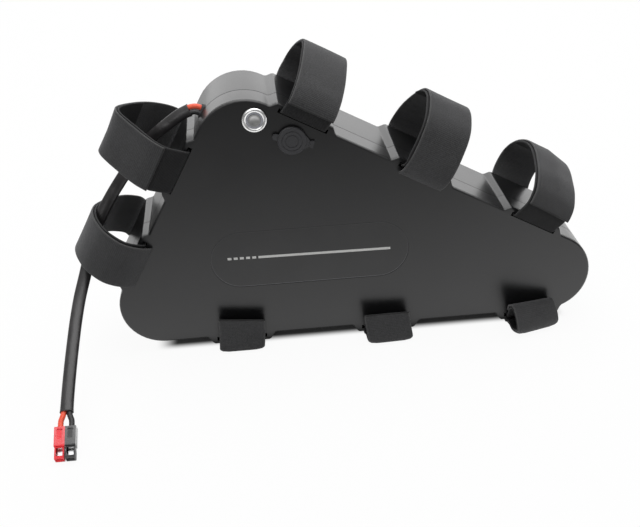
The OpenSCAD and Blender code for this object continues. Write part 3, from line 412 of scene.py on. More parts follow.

# Straps: sizes in millimetres, and where the weave changes across a tape and where the painted highlight on
# its rounded rim lies, from its middle outwards
STRAP_W = 38.0
TAPE_T = 1.6
TAPE_GAP = 0.3
SELVEDGE = (17.2, 17.7)
HIGHLIGHT_RIM = (18.1, 18.5)
CORD_STEP = 0.9
# How far the painted shade at a tape's cut end reaches along it, and its colour
CUT_END = (0.1, 1.6)
CUT_END_PAINTED_SHADE = (0.003, 0.003, 0.003)


def tape_paint(name, dark, light, rib_step, rib_depth, fuzz_depth, selvedge_and_rim_highlight, sheen):
    """Woven tape. The UV map holds the way along the tape and the way across it, in millimetres."""
    paint = Paint(name)
    uv = paint.node("ShaderNodeUVMap", {"uv_map": "tape"})["UV"]
    along, across, _ = paint.parts(uv)
    at = paint.place()
    fuzz = paint.noise(at, 2600.0, 3.0, 0.65)
    pile = paint.noise(at, 700.0, 3.0, 0.6)
    patch = paint.noise(at, 45.0, 2.0)
    rib = (along * (2 * math.pi / rib_step)).sin()
    cord = (across * (2 * math.pi / CORD_STEP)).sin()
    selvedge = across.abs().step(*SELVEDGE)
    rim_highlight = across.abs().step(*HIGHLIGHT_RIM)
    tone = fuzz * 0.45 + pile * 0.35 + patch * 0.2 + rib * 0.05
    cloth = paint.mix(tone.step(0.36, 0.66), dark, light)
    # The selvedge weave is a little lighter, and a painted highlight lies on the tape's rounded rim
    cloth = paint.mix(selvedge * 0.3 + rim_highlight * 0.6, cloth, selvedge_and_rim_highlight)
    # Painted shade: the cut end of a tape is painted darker, so that its end face does not catch light
    paint.put("Base Color", paint.mix(along.step(*CUT_END), CUT_END_PAINTED_SHADE, cloth))
    paint.put("Roughness", 0.86 + (fuzz - 0.5) * 0.16)
    weave = (rib * 0.5 + cord * 0.15) * rib_depth * (1.0 - selvedge)
    paint.bump(weave + fuzz * fuzz_depth + pile * fuzz_depth * 0.7, 1.0)
    return paint.puts(Sheen_Weight=sheen, Sheen_Roughness=0.5, Sheen_Tint=(0.7, 0.7, 0.72))


loop_paint = tape_paint("loop_tape", (0.012, 0.012, 0.0125), (0.034, 0.034, 0.0355), 1.4, 0.00005, 0.00024,
                        (0.05, 0.05, 0.05), 0.2)
hook_paint = tape_paint("hook_tape", (0.005, 0.005, 0.0054), (0.0145, 0.0145, 0.015), 1.25, 0.00022, 0.00006,
                        (0.035, 0.035, 0.036), 0.04)
hook_paint.put("Specular IOR Level", 0.25)

# The loops, by the same tables as in the part's source, as shares of the case depth and of the loop's reach
LOOPS = [
    [(-0.03, -0.16), (-0.1, -0.03), (-0.15, 0.1), (-0.18, 0.25), (-0.18, 0.42), (-0.13, 0.6),
     (-0.05, 0.76), (0.06, 0.88), (0.18, 0.96), (0.32, 1), (0.46, 0.98), (0.6, 0.9), (0.74, 0.79),
     (0.88, 0.66), (1.02, 0.48), (1.1, 0.3), (1.13, 0.16), (1.08, 0.05)],
    [(-0.07, 0.04), (-0.13, 0.1), (-0.175, 0.19), (-0.19, 0.3), (-0.15, 0.44), (-0.07, 0.58), (0.02, 0.71),
     (0.11, 0.84), (0.21, 0.95), (0.31, 1), (0.42, 0.99), (0.55, 0.92), (0.69, 0.82), (0.84, 0.7),
     (0.98, 0.56), (1.08, 0.4), (1.13, 0.24), (1.12, 0.1), (1.07, 0.03)],
    [(-0.1, 0.09), (-0.13, 0.23), (-0.1, 0.38), (0, 0.55), (0.14, 0.68), (0.28, 0.79), (0.45, 0.9),
     (0.62, 0.98), (0.77, 1), (0.9, 0.94), (1.03, 0.8), (1.13, 0.6), (1.165, 0.4), (1.14, 0.2),
     (1.08, 0.06)],
    [(-0.045, -0.12), (-0.11, -0.03), (-0.155, 0.1), (-0.155, 0.3), (-0.12, 0.5), (-0.06, 0.69),
     (0.03, 0.82), (0.15, 0.91), (0.3, 0.985), (0.44, 1), (0.58, 0.955), (0.72, 0.85), (0.86, 0.69),
     (0.98, 0.5), (1.05, 0.32), (1.08, 0.16), (1.06, 0.05)],
    [(-0.1, 0.08), (-0.15, 0.2), (-0.168, 0.34), (-0.15, 0.46), (-0.09, 0.61), (0.02, 0.74), (0.13, 0.83),
     (0.27, 0.9), (0.42, 0.965), (0.57, 1), (0.72, 0.985), (0.88, 0.91), (1.02, 0.8), (1.12, 0.65),
     (1.165, 0.48), (1.155, 0.3), (1.11, 0.14), (1.06, 0.04)],
]
# Base straps: depth and height of the front sheet, its hidden rise from the slot, and the rear sheet
BASE_FRONTS = [
    [(-2.0, -5.5), (-6.5, -13.2), (-13.0, -17.3), (-19.0, -15.0), (-22.0, -7.8), (-22.2, 0.8),
     (-19.4, 7.2), (-12.6, 10.2), (-4.0, 10.45), (4.2, 10.45)],
    [(-12.6, -16.8), (-13.6, -10.5), (-15.2, -3.5), (-17.0, 3.0), (-17.2, 7.0), (-14.4, 9.8),
     (-8.0, 10.45), (4.2, 10.45)],
    [(-11.4, -21.6), (-11.2, -14.0), (-11.0, -6.0), (-11.2, 1.5), (-11.2, 6.4), (-9.4, 9.5), (-4.6, 10.45),
     (4.2, 10.45)],
]
BASE_RISES = [
    [(-1.9, -0.4), (-4.0, -3.3)],
    [(-2.5, 0.2), (-3.8, -5.5), (-7.2, -11.5)],
    [(-2.5, 0.2), (-2.8, -4.2), (-3.2, -11.0), (-4.8, -16.6)],
]
BASE_BACK = [(4.2, 10.45), (0.0, 10.45), (-7.3, 10.2), (-13.1, 7.8), (-15.2, 2.6), (-13.1, -2.1),
             (-8.4, -3.1), (-3.7, -0.2)]
# In millimetres: how much higher the front sheet's edge towards the foot stands at its top, how far the top
# leans towards the foot, how far that edge swings forward, and how far the foremost part slips to the nose
BASE_TILTS = [1.4, 0.4, 1.8]
BASE_SLANTS = [2.3, 1.6, -0.9]
BASE_SWINGS = [5.6, 0.8, 0.0]
BASE_SKEWS = [2.8, 1.0, 0.0]
# Depth from which the front sheet hangs in front of the case, height over which it takes its whole slant,
# least share of that slant, and the depths at which its slip starts and over which it and its swing grow
HANG_FROM, HANG_H, HANG_LEAST = 2.0, 14.0, -0.6
SKEW_FROM, SKEW_RUN, SWING_RUN = 9.0, 13.0, 10.0
# Its worn corners: how much is gone, how sharply towards the edge, over which height and depth, and how much
# of it goes upwards
WORN, WORN_POWER, WORN_H, WORN_RUN, WORN_RISE = 2.0, 8, 8.0, 4.0, 0.7
# Loops, in millimetres: how far the top leans along the side, how far the strap sits off the middle of its
# slot, and how far the hook tape has slipped sideways; and by which share the far edge reaches farther out
LEANS = [0.0, 0.0, 3.0, 0.0, 2.5]
PLACES = [0.0, -1.2, 0.0, 0.0, 0.0]
HOOK_SLIPS = [1.3, 0.8, -0.8, -1.9, -1.6]
FLARES = [0.0, 0.02, 0.0, 0.0, -0.09]
# Heights from which and over which a loop comes free of its slot. Its slow waves, sideways and bowed across
# its width: size in millimetres, radians per millimetre, and how far the bow is set back in the middle
FREE_FROM, FREE_RUN = 2.0, 12.0
WAVE, WAVE_RATE = 0.16, 0.13
CUP, CUP_RATE, CUP_FLAT = 0.2, 0.09, 0.3
SEED_STEP = 1.7
# Reach, first point of the loop tape, first point of the hook tape, points before the end where it stops
SIZES = [(46.5, 0, 3, 6), (60.0, 3, 2, 5), (44.5, 1, 1, 4), (55.5, 0, 2, 5), (49.0, 2, 1, 5)]
# Side of the case and place along it
LANDS = [(0, 27.5), (0, 115.99), (1, 31.0), (1, 136.49), (1, 241.99), (2, 15.0), (2, 138.0), (2, 261.0)]
NAMES = ["left_lower", "left_upper", "top_first", "top_middle", "top_last", "base_first", "base_middle",
         "base_last"]
LOOP_COUNT = len(LOOPS)
# Slots: the wall over a slot, its gap, the straight run inside and outside its mouth, and the tape's lift
# there; then how much farther inside the loop the hook tape's first free point lies
SLOT_WALL, SLOT_GAP = 3.2, 3.6
SLOT_LEAD, SLOT_EXIT = 3.0, 1.0
MOUTH_LIFT = 0.35
HOOK_LEAD = 0.7
# Share of the case depth at which a base strap's hook tape ends
HOOK_END = 0.62
# Share of its thickness that a tape keeps at its two ends
END_THIN = 0.7
# The case's three rounds, from the foot over the peak to the nose: centres and radii
CORNERS = [(0.0, FOOT_R), PEAK, (BASE_LEN, NOSE_R)]
RADII = [FOOT_R, PEAK_R, NOSE_R]


def side_angle(side):
    """Angle of a side's outward normal."""
    following = (side + 1) % 3
    (x0, z0), (x1, z1) = CORNERS[side], CORNERS[following]
    gap = math.hypot(x1 - x0, z1 - z0)
    return math.atan2(z1 - z0, x1 - x0) + math.acos((RADII[side] - RADII[following]) / gap)


def side_point(side, place, height):
    """The point at a place along a side and a height over it."""
    angle = side_angle(side)
    x, z = CORNERS[side]
    reach = RADII[side] + height
    return (x + reach * math.cos(angle) + place * math.sin(angle),
            z + reach * math.sin(angle) - place * math.cos(angle))


def normals(p):
    """Unit normals of a path, to its left."""
    found = []
    for i in range(len(p)):
        a, b = p[max(i - 1, 0)], p[min(i + 1, len(p) - 1)]
        length = math.hypot(b[0] - a[0], b[1] - a[1]) or 1.0
        found.append((-(b[1] - a[1]) / length, (b[0] - a[0]) / length))
    return found


def shifted(p, distance):
    """A path moved to its left by a distance."""
    return [(q[0] + distance * n[0], q[1] + distance * n[1]) for q, n in zip(p, normals(p))]


def spline(p, steps=10):
    """A smooth curve through all the points of a path."""
    found = []
    for i in range(len(p) - 1):
        a, b, c, d = p[max(i - 1, 0)], p[i], p[i + 1], p[min(i + 2, len(p) - 1)]
        for j in range(steps):
            u = j / steps
            found.append(tuple(
                (2 * b[k] + (c[k] - a[k]) * u + (2 * a[k] - 5 * b[k] + 4 * c[k] - d[k]) * u * u
                 + (3 * b[k] - 3 * c[k] + d[k] - a[k]) * u ** 3) / 2 for k in range(len(b))))
    return found + [tuple(p[-1])]


def tape_paths(i):
    """The loop tape's and the hook tape's middle lines, as (depth, height) in millimetres."""
    slot = (LAND_TOP if i < LOOP_COUNT else BASE_LAND) - SLOT_WALL - SLOT_GAP / 2
    middle = (CASE_T / 2, slot)
    front = [(SLOT_LEAD, slot), (-SLOT_EXIT, slot + MOUTH_LIFT)]
    back = [(CASE_T + SLOT_EXIT, slot), (CASE_T - SLOT_LEAD, slot)]
    outer, inner = -TAPE_T / 2, -(TAPE_T * 1.5 + TAPE_GAP)
    if i < LOOP_COUNT:
        reach, loop_from, hook_from, hook_stop = SIZES[i]
        free = [(y * CASE_T, h * reach) for y, h in LOOPS[i]]
        far = shifted(free, outer)
        near, deep = shifted(free, inner), shifted(free, inner - HOOK_LEAD)
        loop = spline(far[loop_from:] + back) + [middle]
        hook = [middle] + spline(front + [deep[hook_from]] + near[hook_from + 1:len(near) - hook_stop])
        return loop, hook
    free, rise = BASE_FRONTS[i - LOOP_COUNT], BASE_RISES[i - LOOP_COUNT]
    rear = [(CASE_T - y, h) for y, h in BASE_BACK]
    loop = spline(shifted(free, outer)) + spline(shifted(rear, outer) + back) + [middle]
    near = shifted(free, inner)
    hook = [middle] + spline(front + rise + near[1:]) + [(CASE_T * HOOK_END, near[-1][1])]
    return loop, hook


# Half cross-section of a tape, as shares of the half width and the half thickness, and the whole one
SECTION = [(0.0, 1.0), (0.3, 1.0), (0.6, 1.0), (0.86, 1.0), (0.905, 0.97), (0.925, 0.8), (0.945, 0.95),
           (0.975, 0.92), (0.995, 0.55), (1.0, 0.0)]
RING = (SECTION + [(a, -b) for a, b in SECTION[-2::-1]]
        + [(-a, -b) for a, b in SECTION[1:]] + [(-a, b) for a, b in SECTION[-2:0:-1]])


def loop_point(i, a, b, p, n, run, top, slip):
    """A point of a loop's skin, as place along the side, depth and height."""
    seed = i * SEED_STEP
    free = clamp((abs(p[1]) - FREE_FROM) / FREE_RUN)
    wave = free * WAVE * math.sin(run * WAVE_RATE + seed)
    cup = free * CUP * math.sin(run * CUP_RATE + seed) * (a * a - CUP_FLAT)
    off = b * TAPE_T / 2 + cup
    s = a * STRAP_W / 2 + wave + (LEANS[i] * p[1] / top + slip) * free + PLACES[i]
    return s, p[0] + n[0] * off, p[1] + n[1] * off + FLARES[i] * free * p[1] * max(0.0, a)


def base_point(i, a, b, p, n):
    """A point of a base strap's skin, as place along the side, depth and height."""
    s, tilt = a * STRAP_W / 2, 0.0
    if p[0] < HANG_FROM:
        share = clamp(-p[1] / HANG_H, HANG_LEAST)
        s += BASE_SLANTS[i] * share - BASE_SKEWS[i] * max(0.0, (-p[0] - SKEW_FROM) / SKEW_RUN)
        tilt = BASE_TILTS[i] * max(0.0, share)
    off = b * TAPE_T / 2
    # The corners of the front sheet are worn round where it turns under the case
    worn = WORN * a ** WORN_POWER * clamp(p[1] / WORN_H) * clamp(-p[0] / WORN_RUN)
    swing = BASE_SWINGS[i] * a * clamp(-p[0] / SWING_RUN)
    return s, p[0] + n[0] * off - swing + worn, p[1] + n[1] * off - tilt * a - worn * WORN_RISE


def travels(path):
    """How far along a path each of its points lies."""
    found = [0.0]
    for a, b in zip(path, path[1:]):
        found.append(found[-1] + math.hypot(b[0] - a[0], b[1] - a[1]))
    return found


def mesh_data(name, mesh):
    data = bpy.data.meshes.new(name)
    mesh.to_mesh(data)
    mesh.free()
    return data


def dressed(name, data, paint):
    """A new piece with its finish."""
    data.materials.append(paint.material)
    return placed(name, data)


def tape_mesh(i, kind, path, paint):
    """A woven tape along a path across its side, with thin selvedges and slightly uneven edges."""
    side, place = LANDS[i]
    angle = side_angle(side)
    out, way = (math.cos(angle), math.sin(angle)), (math.sin(angle), -math.cos(angle))
    root = side_point(side, place, 0.0)
    runs, top = travels(path), max(abs(p[1]) for p in path)
    slip = HOOK_SLIPS[i] if kind == "hook" and i < LOOP_COUNT else 0.0
    mesh = bmesh.new()
    uv = mesh.loops.layers.uv.new("tape")
    rings = []
    for j, (p, n) in enumerate(zip(path, normals(path))):
        thin = END_THIN if j in (0, len(path) - 1) else 1.0
        verts = []
        for a, b in RING:
            if i < LOOP_COUNT:
                s, y, h = loop_point(i, a, b * thin, p, n, runs[j], top, slip)
            else:
                s, y, h = base_point(i - LOOP_COUNT, a, b * thin, p, n)
            at = row(root[0] + way[0] * s + out[0] * h, y, root[1] + way[1] * s + out[1] * h)
            verts.append(mesh.verts.new(at))
        rings.append(verts)
    for j in range(len(rings) - 1):
        for k in range(len(RING)):
            m = (k + 1) % len(RING)
            face = mesh.faces.new((rings[j][k], rings[j][m], rings[j + 1][m], rings[j + 1][k]))
            face.smooth = True
            corners = ((runs[j], k), (runs[j], m), (runs[j + 1], m), (runs[j + 1], k))
            for loop, (run, c) in zip(face.loops, corners):
                loop[uv].uv = (run, RING[c][0] * STRAP_W / 2)
    for end in (rings[0][::-1], rings[-1]):
        face = mesh.faces.new(end)
        for loop in face.loops:
            loop[uv].uv = (0.0, 0.0)
    bmesh.ops.recalc_face_normals(mesh, faces=mesh.faces)
    name = NAMES[i] + "_" + kind + "_strap"
    node, slot = NAMES[i] + "_" + kind + "_tape", kind + "_tape"
    piece = dressed(name, mesh_data(name, mesh), paint)
    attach(piece, BODY)
    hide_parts(node)


for i in range(len(NAMES)):
    loop_path, hook_path = tape_paths(i)
    tape_mesh(i, "loop", loop_path, loop_paint)
    tape_mesh(i, "hook", hook_path, hook_paint)

# Output lead: the part's own route in case millimetres. Angle of the exit, its place round the peak and its
# depth, the grommet's lip and its grip on the wires, and the straight run in front of it
EXIT_ANGLE = math.radians(155.0)
EXIT_PLACE = math.radians(146.0)
EXIT_Y = 30.0
LIP = 1.2
HOLD = 3.0
EXIT_RUN = 3.2
# The wires' diameter and spacing, the width of a housing, and the steps between two points of the route
WIRE_D = 4.2
WIRE_STEP = 4.4
HOUSING = 7.9
WIRE_STEPS, SLEEVE_STEPS = 6, 8
exit_dir = Vector((math.cos(EXIT_ANGLE), 0.0, math.sin(EXIT_ANGLE)))
exit_wall = Vector((PEAK[0] + PEAK_R * math.cos(EXIT_PLACE), EXIT_Y,
                    PEAK[1] + PEAK_R * math.sin(EXIT_PLACE)))
exit_point = exit_wall + LIP * exit_dir
ROUTE = [exit_point - HOLD * exit_dir, exit_point + EXIT_RUN * exit_dir] + [Vector(p) for p in (
    (37.4, 30, 191.2), (30, 30, 188), (20, 30, 181.5), (6, 30, 171), (-8, 30, 156.5), (-21, 29, 139.5),
    (-31, 27.5, 126), (-40, 24.5, 112.5), (-48, 19.5, 98), (-53.3, 13, 83), (-58.3, 3.4, 68.5),
    (-63, -11, 55.5), (-65.8, -28, 44.5), (-67.4, -46, 35), (-68.4, -66, 26.3), (-69, -87, 17.5),
    (-69.2, -103, 10.5), (-69.2, -109, 7.2), (-69.2, -115.2, 3.75))]
# Points of the route between which the sleeve lies, and the way from which the wires are seen side by side
SLEEVE_FIRST, SLEEVE_LAST = 2, 18
LOOK = Vector((0.0, 0.88, -0.48))
# Sleeve: wall, slack round the wires sideways and upwards, sides of its outline, and the power that squares
# its oval; then how it flares at its ends, its creases and how they come and go, and the ridge along it
SLEEVE_WALL = 0.5
SLEEVE_SLACK_W, SLEEVE_SLACK_T = 0.15, 0.2
SLEEVE_SIDES = 28
OVAL = 0.8
FLARE, FLARE_RUN = 0.25, 1.5
CREASE, CREASE_RATE, CREASE_FADE, CREASE_TURN = 0.10, 0.9, 0.23, 0.4
RIDGE_FLAT, RIDGE_RISE = 0.9, 0.2


def tangents(p):
    return [(p[min(i + 1, len(p) - 1)] - p[max(i - 1, 0)]).normalized() for i in range(len(p))]


def across(p):
    """Sideways directions of a route."""
    return [t.cross(LOOK).normalized() for t in tangents(p)]


def splay(i):
    """How far each wire lies off the middle of the route: side by side in the sleeve, then apart."""
    start = WIRE_STEP / 2
    if i <= SLEEVE_LAST:
        return start
    return start + (HOUSING / 2 - start) * min(1.0, (i - SLEEVE_LAST) / (len(ROUTE) - 2 - SLEEVE_LAST))


def wire(name, side, paint, node):
    points = [q + w * (side * splay(i)) for i, (q, w) in enumerate(zip(ROUTE, across(ROUTE)))]
    fine = [row(*p) for p in spline([tuple(q) for q in points], WIRE_STEPS)]
    data = bpy.data.curves.new(name, "CURVE")
    data.dimensions = "3D"
    data.bevel_depth = WIRE_D / 2 * MM
    data.bevel_resolution = 5
    data.use_fill_caps = True
    line = data.splines.new("POLY")
    line.points.add(len(fine) - 1)
    for point, q in zip(line.points, fine):
        point.co = (*q, 1.0)
    piece = dressed(name, data, paint)
    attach(piece, BODY)
    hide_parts(node)


def shrink_paint():
    """Heat-shrink: smooth, with a few soft creases and patches that were pulled tighter."""
    paint = Paint("heat_shrink")
    at = paint.place()
    grain = paint.noise(at, 500.0, 3.0)
    pull = paint.noise(at, 90.0, 2.0)
    paint.put("Base Color", paint.mix(pull.step(*NOISE_SPAN), (0.013, 0.012, 0.0125), (0.026, 0.024, 0.025)))
    paint.put("Roughness", 0.34 + (pull - 0.5) * 0.2)
    paint.bump(grain * 0.5 + pull, 0.00025)
    return paint


def sleeve_mesh():
    """Heat-shrink drawn down over the two wires: a flat oval with a ridge along it, creases and open ends."""
    points = [tuple(q) for q in ROUTE[SLEEVE_FIRST:SLEEVE_LAST + 1]]
    fine = [Vector(q) for q in spline(points, SLEEVE_STEPS)]
    half_w = WIRE_STEP / 2 + WIRE_D / 2 + SLEEVE_SLACK_W
    half_t = WIRE_D / 2 + SLEEVE_SLACK_T
    mesh = bmesh.new()
    skins = []
    for outer in (1.0, 0.0):
        rings = []
        for i, (q, t, w) in enumerate(zip(fine, tangents(fine), across(fine))):
            v = w.cross(t)
            flare = FLARE * math.exp(-min(i, len(fine) - 1 - i) / FLARE_RUN)
            crease = CREASE * math.sin(i * CREASE_RATE) * math.sin(i * CREASE_FADE + 1.0) * outer
            grow = SLEEVE_WALL * outer + flare
            verts = []
            for k in range(SLEEVE_SIDES):
                a = 2 * math.pi * k / SLEEVE_SIDES
                c, s = math.cos(a), math.sin(a)
                ridge = RIDGE_FLAT + RIDGE_RISE * (1.0 - abs(c))
                x = (half_w + grow) * math.copysign(abs(c) ** OVAL, c)
                z = (half_t + grow + crease * (0.5 + 0.5 * math.sin(3 * a + i * CREASE_TURN))) * ridge
                z *= math.copysign(abs(s) ** OVAL, s)
                verts.append(mesh.verts.new(row(*(q + w * x + v * z))))
            rings.append(verts)
        skins.append(rings)
    for rings, turn in ((skins[0], False), (skins[1], True)):
        for i in range(len(rings) - 1):
            for k in range(SLEEVE_SIDES):
                m = (k + 1) % SLEEVE_SIDES
                quad = [rings[i][k], rings[i][m], rings[i + 1][m], rings[i + 1][k]]
                mesh.faces.new(quad[::-1] if turn else quad).smooth = True
    for i in (0, -1):
        for k in range(SLEEVE_SIDES):
            m = (k + 1) % SLEEVE_SIDES
            mesh.faces.new((skins[0][i][k], skins[0][i][m], skins[1][i][m], skins[1][i][k]))
    bmesh.ops.recalc_face_normals(mesh, faces=mesh.faces)
    data = mesh_data("heat_shrink_sleeve", mesh)
    piece = dressed("heat_shrink_sleeve", data, shrink_paint())
    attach(piece, BODY)
    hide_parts("cable_sleeve")
    return piece


sleeve = sleeve_mesh()
wire("red_lead", -1, red_wire_paint, "red_wire")
wire("black_lead", 1, black_wire_paint, "black_wire")

# Finishes of the CAD nodes that stay
FINISHES = {
    "front_cover": case_paint, "rear_shell": case_paint, "label_plate": label_paint,
    "case_seal": seal_paint, "case_screws": screw_paint, "screw_inserts": brass_paint,
    "switch_body": switch_paint, "switch_light_ring": lens_paint, "power_button": button_paint,
    "switch_seal": seal_paint, "switch_nut": screw_paint, "switch_base": black_paint,
    "charge_socket": black_paint, "charge_pin": brass_paint, "charge_nut": screw_paint,
    "charge_cap": rubber_paint, "cap_anchor": rubber_paint, "wire_grommet": rubber_paint,
    "red_connector": red_housing_paint, "black_connector": black_housing_paint,
    "connector_contacts": contact_paint, "cells": hidden_paint, "front_cell_holder": black_paint,
    "rear_cell_holder": black_paint, "front_nickel_strips": nickel_paint, "rear_nickel_strips": nickel_paint,
    "front_foam": seal_paint, "rear_foam": seal_paint, "board_foam": seal_paint,
    "protection_board": hidden_paint, "board_parts": black_paint, "heat_plate": contact_paint,
    "main_fuse": red_housing_paint, "inner_leads": red_wire_paint, "switch_leads": black_wire_paint,
    "charge_leads": red_wire_paint,
}
# Edges under this angle are shaded smooth, and points this close, in metres, are joined for it
SMOOTH_ANGLE = math.radians(34.0)
MERGE = 0.000002
# Bevel widths in millimetres, and the angle from which an edge gets its bevel
BEVELS = {"red_connector": 0.25, "black_connector": 0.25, "charge_cap": 0.2, "cap_anchor": 0.25,
          "wire_grommet": 0.2}
BEVEL_ANGLE = math.radians(40.0)


def smoothing_group():
    """Joins a CAD node's split points and shades it smooth up to a fixed edge angle."""
    tree = bpy.data.node_groups.new("smooth_by_angle", "GeometryNodeTree")
    tree.interface.new_socket("Geometry", in_out="INPUT", socket_type="NodeSocketGeometry")
    tree.interface.new_socket("Geometry", in_out="OUTPUT", socket_type="NodeSocketGeometry")
    start = tree.nodes.new("NodeGroupInput")
    end = tree.nodes.new("NodeGroupOutput")
    merge = tree.nodes.new("GeometryNodeMergeByDistance")
    merge.inputs["Distance"].default_value = MERGE
    faces = tree.nodes.new("GeometryNodeSetShadeSmooth")
    faces.domain = "FACE"
    faces.inputs["Shade Smooth"].default_value = True
    edges = tree.nodes.new("GeometryNodeSetShadeSmooth")
    edges.domain = "EDGE"
    angle = tree.nodes.new("GeometryNodeInputMeshEdgeAngle")
    small = tree.nodes.new("FunctionNodeCompare")
    small.operation = "LESS_THAN"
    small.inputs["B"].default_value = SMOOTH_ANGLE
    tree.links.new(angle.outputs["Unsigned Angle"], small.inputs["A"])
    tree.links.new(start.outputs[0], merge.inputs["Geometry"])
    tree.links.new(merge.outputs["Geometry"], faces.inputs["Geometry"])
    tree.links.new(faces.outputs["Geometry"], edges.inputs["Geometry"])
    tree.links.new(small.outputs["Result"], edges.inputs["Shade Smooth"])
    tree.links.new(edges.outputs["Geometry"], end.inputs[0])
    return tree


SMOOTHING = smoothing_group()
for node, paint in FINISHES.items():
    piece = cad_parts[node]
    piece.data.materials.clear()
    piece.data.materials.append(paint.material)
    piece.modifiers.new("smooth", "NODES").node_group = SMOOTHING
    if node in BEVELS:
        bevel = piece.modifiers.new("bevel", "BEVEL")
        bevel.width = BEVELS[node] * MM
        bevel.segments = 2
        bevel.limit_method = "ANGLE"
        bevel.angle_limit = BEVEL_ANGLE
    crisp = piece.modifiers.new("crisp", "WEIGHTED_NORMAL")
    crisp.mode = "FACE_AREA"
    crisp.weight = 50
    crisp.keep_sharp = True

# Floor, world and lights, in metres
FLOOR_SIZE = 6.0
FLOOR_Z = -0.0002
FLOOR_WHITE, UNDER_PAINTED_SHADOW = (0.78, 0.78, 0.78), (0.06, 0.06, 0.06)
# Share of plain white in what the camera sees of the floor, and how much of it is lost under the case, so that
# the real and the painted shadow show there
SEEN, SEEN_UNDER = 0.94, 0.93
# Where the floor lies under the case and beside it, which is where its shadow is painted, and how soft the
# borders are
UNDER_FROM, UNDER_TO, UNDER_RAMP = row(0, 2.0, 0).y, row(0, 73.0, 0).y, 0.011
SIDE_FROM, SIDE_TO, SIDE_RAMP = row(-12.0, 0, 0).x, row(346.0, 0, 0).x, 0.02
# Painted reflection: how brightly the floor glows in the case's own gloss, bright near the case and dim far in
# front of it, brighter towards the nose, dimmer behind the case, with painted shade nearly dark close in front
# of it and under it, never quite black
GLOW_NEAR, GLOW_FAR = row(0, -30.0, 0).y, row(0, -560.0, 0).y
GLOW_BRIGHT, GLOW_DIM = 1.35, 0.2
GLOW_PLAIN, GLOW_SIDE, GLOW_SIDE_FROM = 1.02, 1.3, 0.08
BACK_FROM, BACK_TO, BACK_LOSS = 0.05, 0.3, 0.4
SHADE_FROM, SHADE_RAMP, SHADE_LOSS = row(0, -19.0, 0).y, 0.014, 0.9
GLOW_LEAST = 0.05


def stage_material():
    """A white floor: the object's real shadow lies on it with a painted shadow under the case, and glossy rays
    see a painted glow, dim away from the object.
    """
    paint = Paint("studio_floor")
    at = paint.place()
    paint.put("Roughness", 0.88 + paint.noise(at, 3.0, 2.0) * 0.06)
    x, y, _ = paint.parts(at)
    camera, glossy = rays(paint.tree)
    beside = (x - SIDE_FROM).step(0.0, SIDE_RAMP) * (1.0 - (x - SIDE_TO).step(-SIDE_RAMP, 0.0))
    painted_shadow = beside * (y - UNDER_FROM).step(0.0, UNDER_RAMP) * (1.0 - (y - UNDER_TO).step(-UNDER_RAMP, 0.0))
    # Painted shadow: the floor's colour is painted dark under the case
    paint.put("Base Color", paint.mix(painted_shadow, FLOOR_WHITE, UNDER_PAINTED_SHADOW))
    seen = camera * (SEEN - painted_shadow * SEEN_UNDER)
    # Painted reflection: what glossy rays see of the floor is a glow painted by place, with painted shade
    # close in front of and under the case
    near = ((y - GLOW_FAR) / (GLOW_NEAR - GLOW_FAR)).most(0.0).least(1.0)
    glow = GLOW_DIM + (GLOW_BRIGHT - GLOW_DIM) * near
    glow = glow * (GLOW_PLAIN + (x - GLOW_SIDE_FROM).most(0.0) * GLOW_SIDE)
    glow = glow * (1.0 - BACK_LOSS * y.step(BACK_FROM, BACK_TO))
    glow = glow * (1.0 - SHADE_LOSS * beside * (y - SHADE_FROM).step(0.0, SHADE_RAMP))
    colour = paint.mix(glossy, (1.0, 1.0, 1.0), grey(paint.tree, glow.most(GLOW_LEAST)))
    light = paint.node("ShaderNodeEmission", None, {"Color": colour, "Strength": 1.0})
    mixed = paint.node("ShaderNodeMixShader", None, {"Fac": seen.most(glossy)})
    paint.tree.links.new(paint.shader.outputs[0], mixed.made.inputs[1])
    paint.tree.links.new(light.made.outputs[0], mixed.made.inputs[2])
    paint.tree.links.new(mixed.made.outputs[0], paint.tree.nodes["Material Output"].inputs["Surface"])
    return paint.material


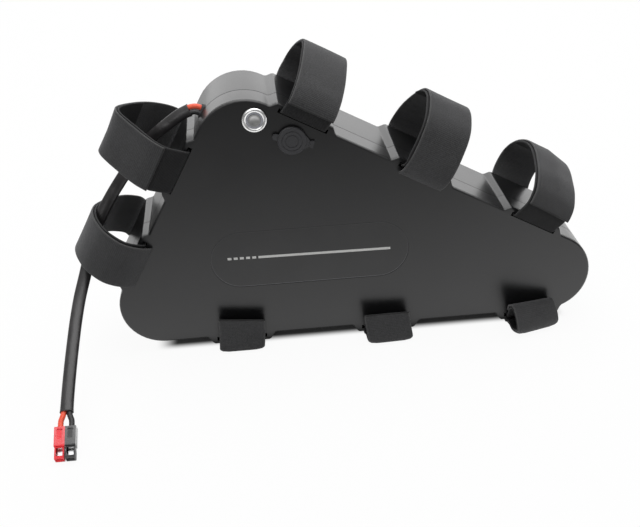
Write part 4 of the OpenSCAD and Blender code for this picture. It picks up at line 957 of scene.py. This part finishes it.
def make_floor():
    mesh = bmesh.new()
    half = FLOOR_SIZE / 2
    corners = [mesh.verts.new((x * half, y * half, 0.0)) for x, y in ((-1, -1), (1, -1), (1, 1), (-1, 1))]
    mesh.faces.new(corners)
    data = mesh_data("floor", mesh)
    data.materials.append(stage_material())
    floor = placed("floor", data)
    floor.location.z = FLOOR_Z


make_floor()

# World: how high and how far back the sky changes. Its levels for glossy rays low in front and overhead, what
# is lost overhead towards the back and gained low down there, and its levels for all other light
ABOVE_FROM, ABOVE_TO = 0.15, 0.75
BEHIND_FROM, BEHIND_TO = -0.2, 0.7
GLOSS_LOW, GLOSS_ABOVE, GLOSS_BEHIND_LOSS, GLOSS_BEHIND_LOW = 0.2, 0.8, 0.45, 0.42
LIGHT_LOW, LIGHT_BEHIND = 0.42, 0.1


def make_world():
    world = bpy.data.worlds.new("studio")
    world.use_nodes = True
    tree = world.node_tree
    way = Made(tree, "ShaderNodeSeparateXYZ", None, {"Vector": Made(tree, "ShaderNodeTexCoord")["Generated"]})
    camera, glossy = rays(tree)
    above = way["Z"].step(ABOVE_FROM, ABOVE_TO)
    behind = way["Y"].step(BEHIND_FROM, BEHIND_TO)
    gloss = (GLOSS_LOW + above * (GLOSS_ABOVE - behind * GLOSS_BEHIND_LOSS)
             + behind * (1.0 - above) * GLOSS_BEHIND_LOW)
    other = LIGHT_LOW + behind * LIGHT_BEHIND
    level = camera.most(glossy * gloss).most((1.0 - camera) * (1.0 - glossy) * other)
    feed(tree, tree.nodes["Background"].inputs["Color"], grey(tree, level))
    bpy.context.scene.world = world


make_world()


def lamp(name, at, target, size, power):
    """A rectangular lamp turned towards a target."""
    data = bpy.data.lights.new(name, "AREA")
    data.shape = "RECTANGLE"
    data.size, data.size_y = size
    data.energy = power
    piece = placed(name, data)
    piece.location = at
    piece.rotation_euler = (Vector(target) - Vector(at)).to_track_quat("-Z", "Y").to_euler()


lamp("overhead", (0.1, 0.1, 1.5), (0.0, 0.0, 0.0), (1.6, 1.4), 18.0)
lamp("rear", (0.1, 1.6, 0.75), (0.0, 0.0, 0.1), (3.4, 1.2), 16.0)
lamp("front", (-0.7, -1.6, 1.0), (0.0, 0.0, 0.1), (1.0, 0.8), 5.0)

bpy.context.scene.view_settings.view_transform = "Standard"
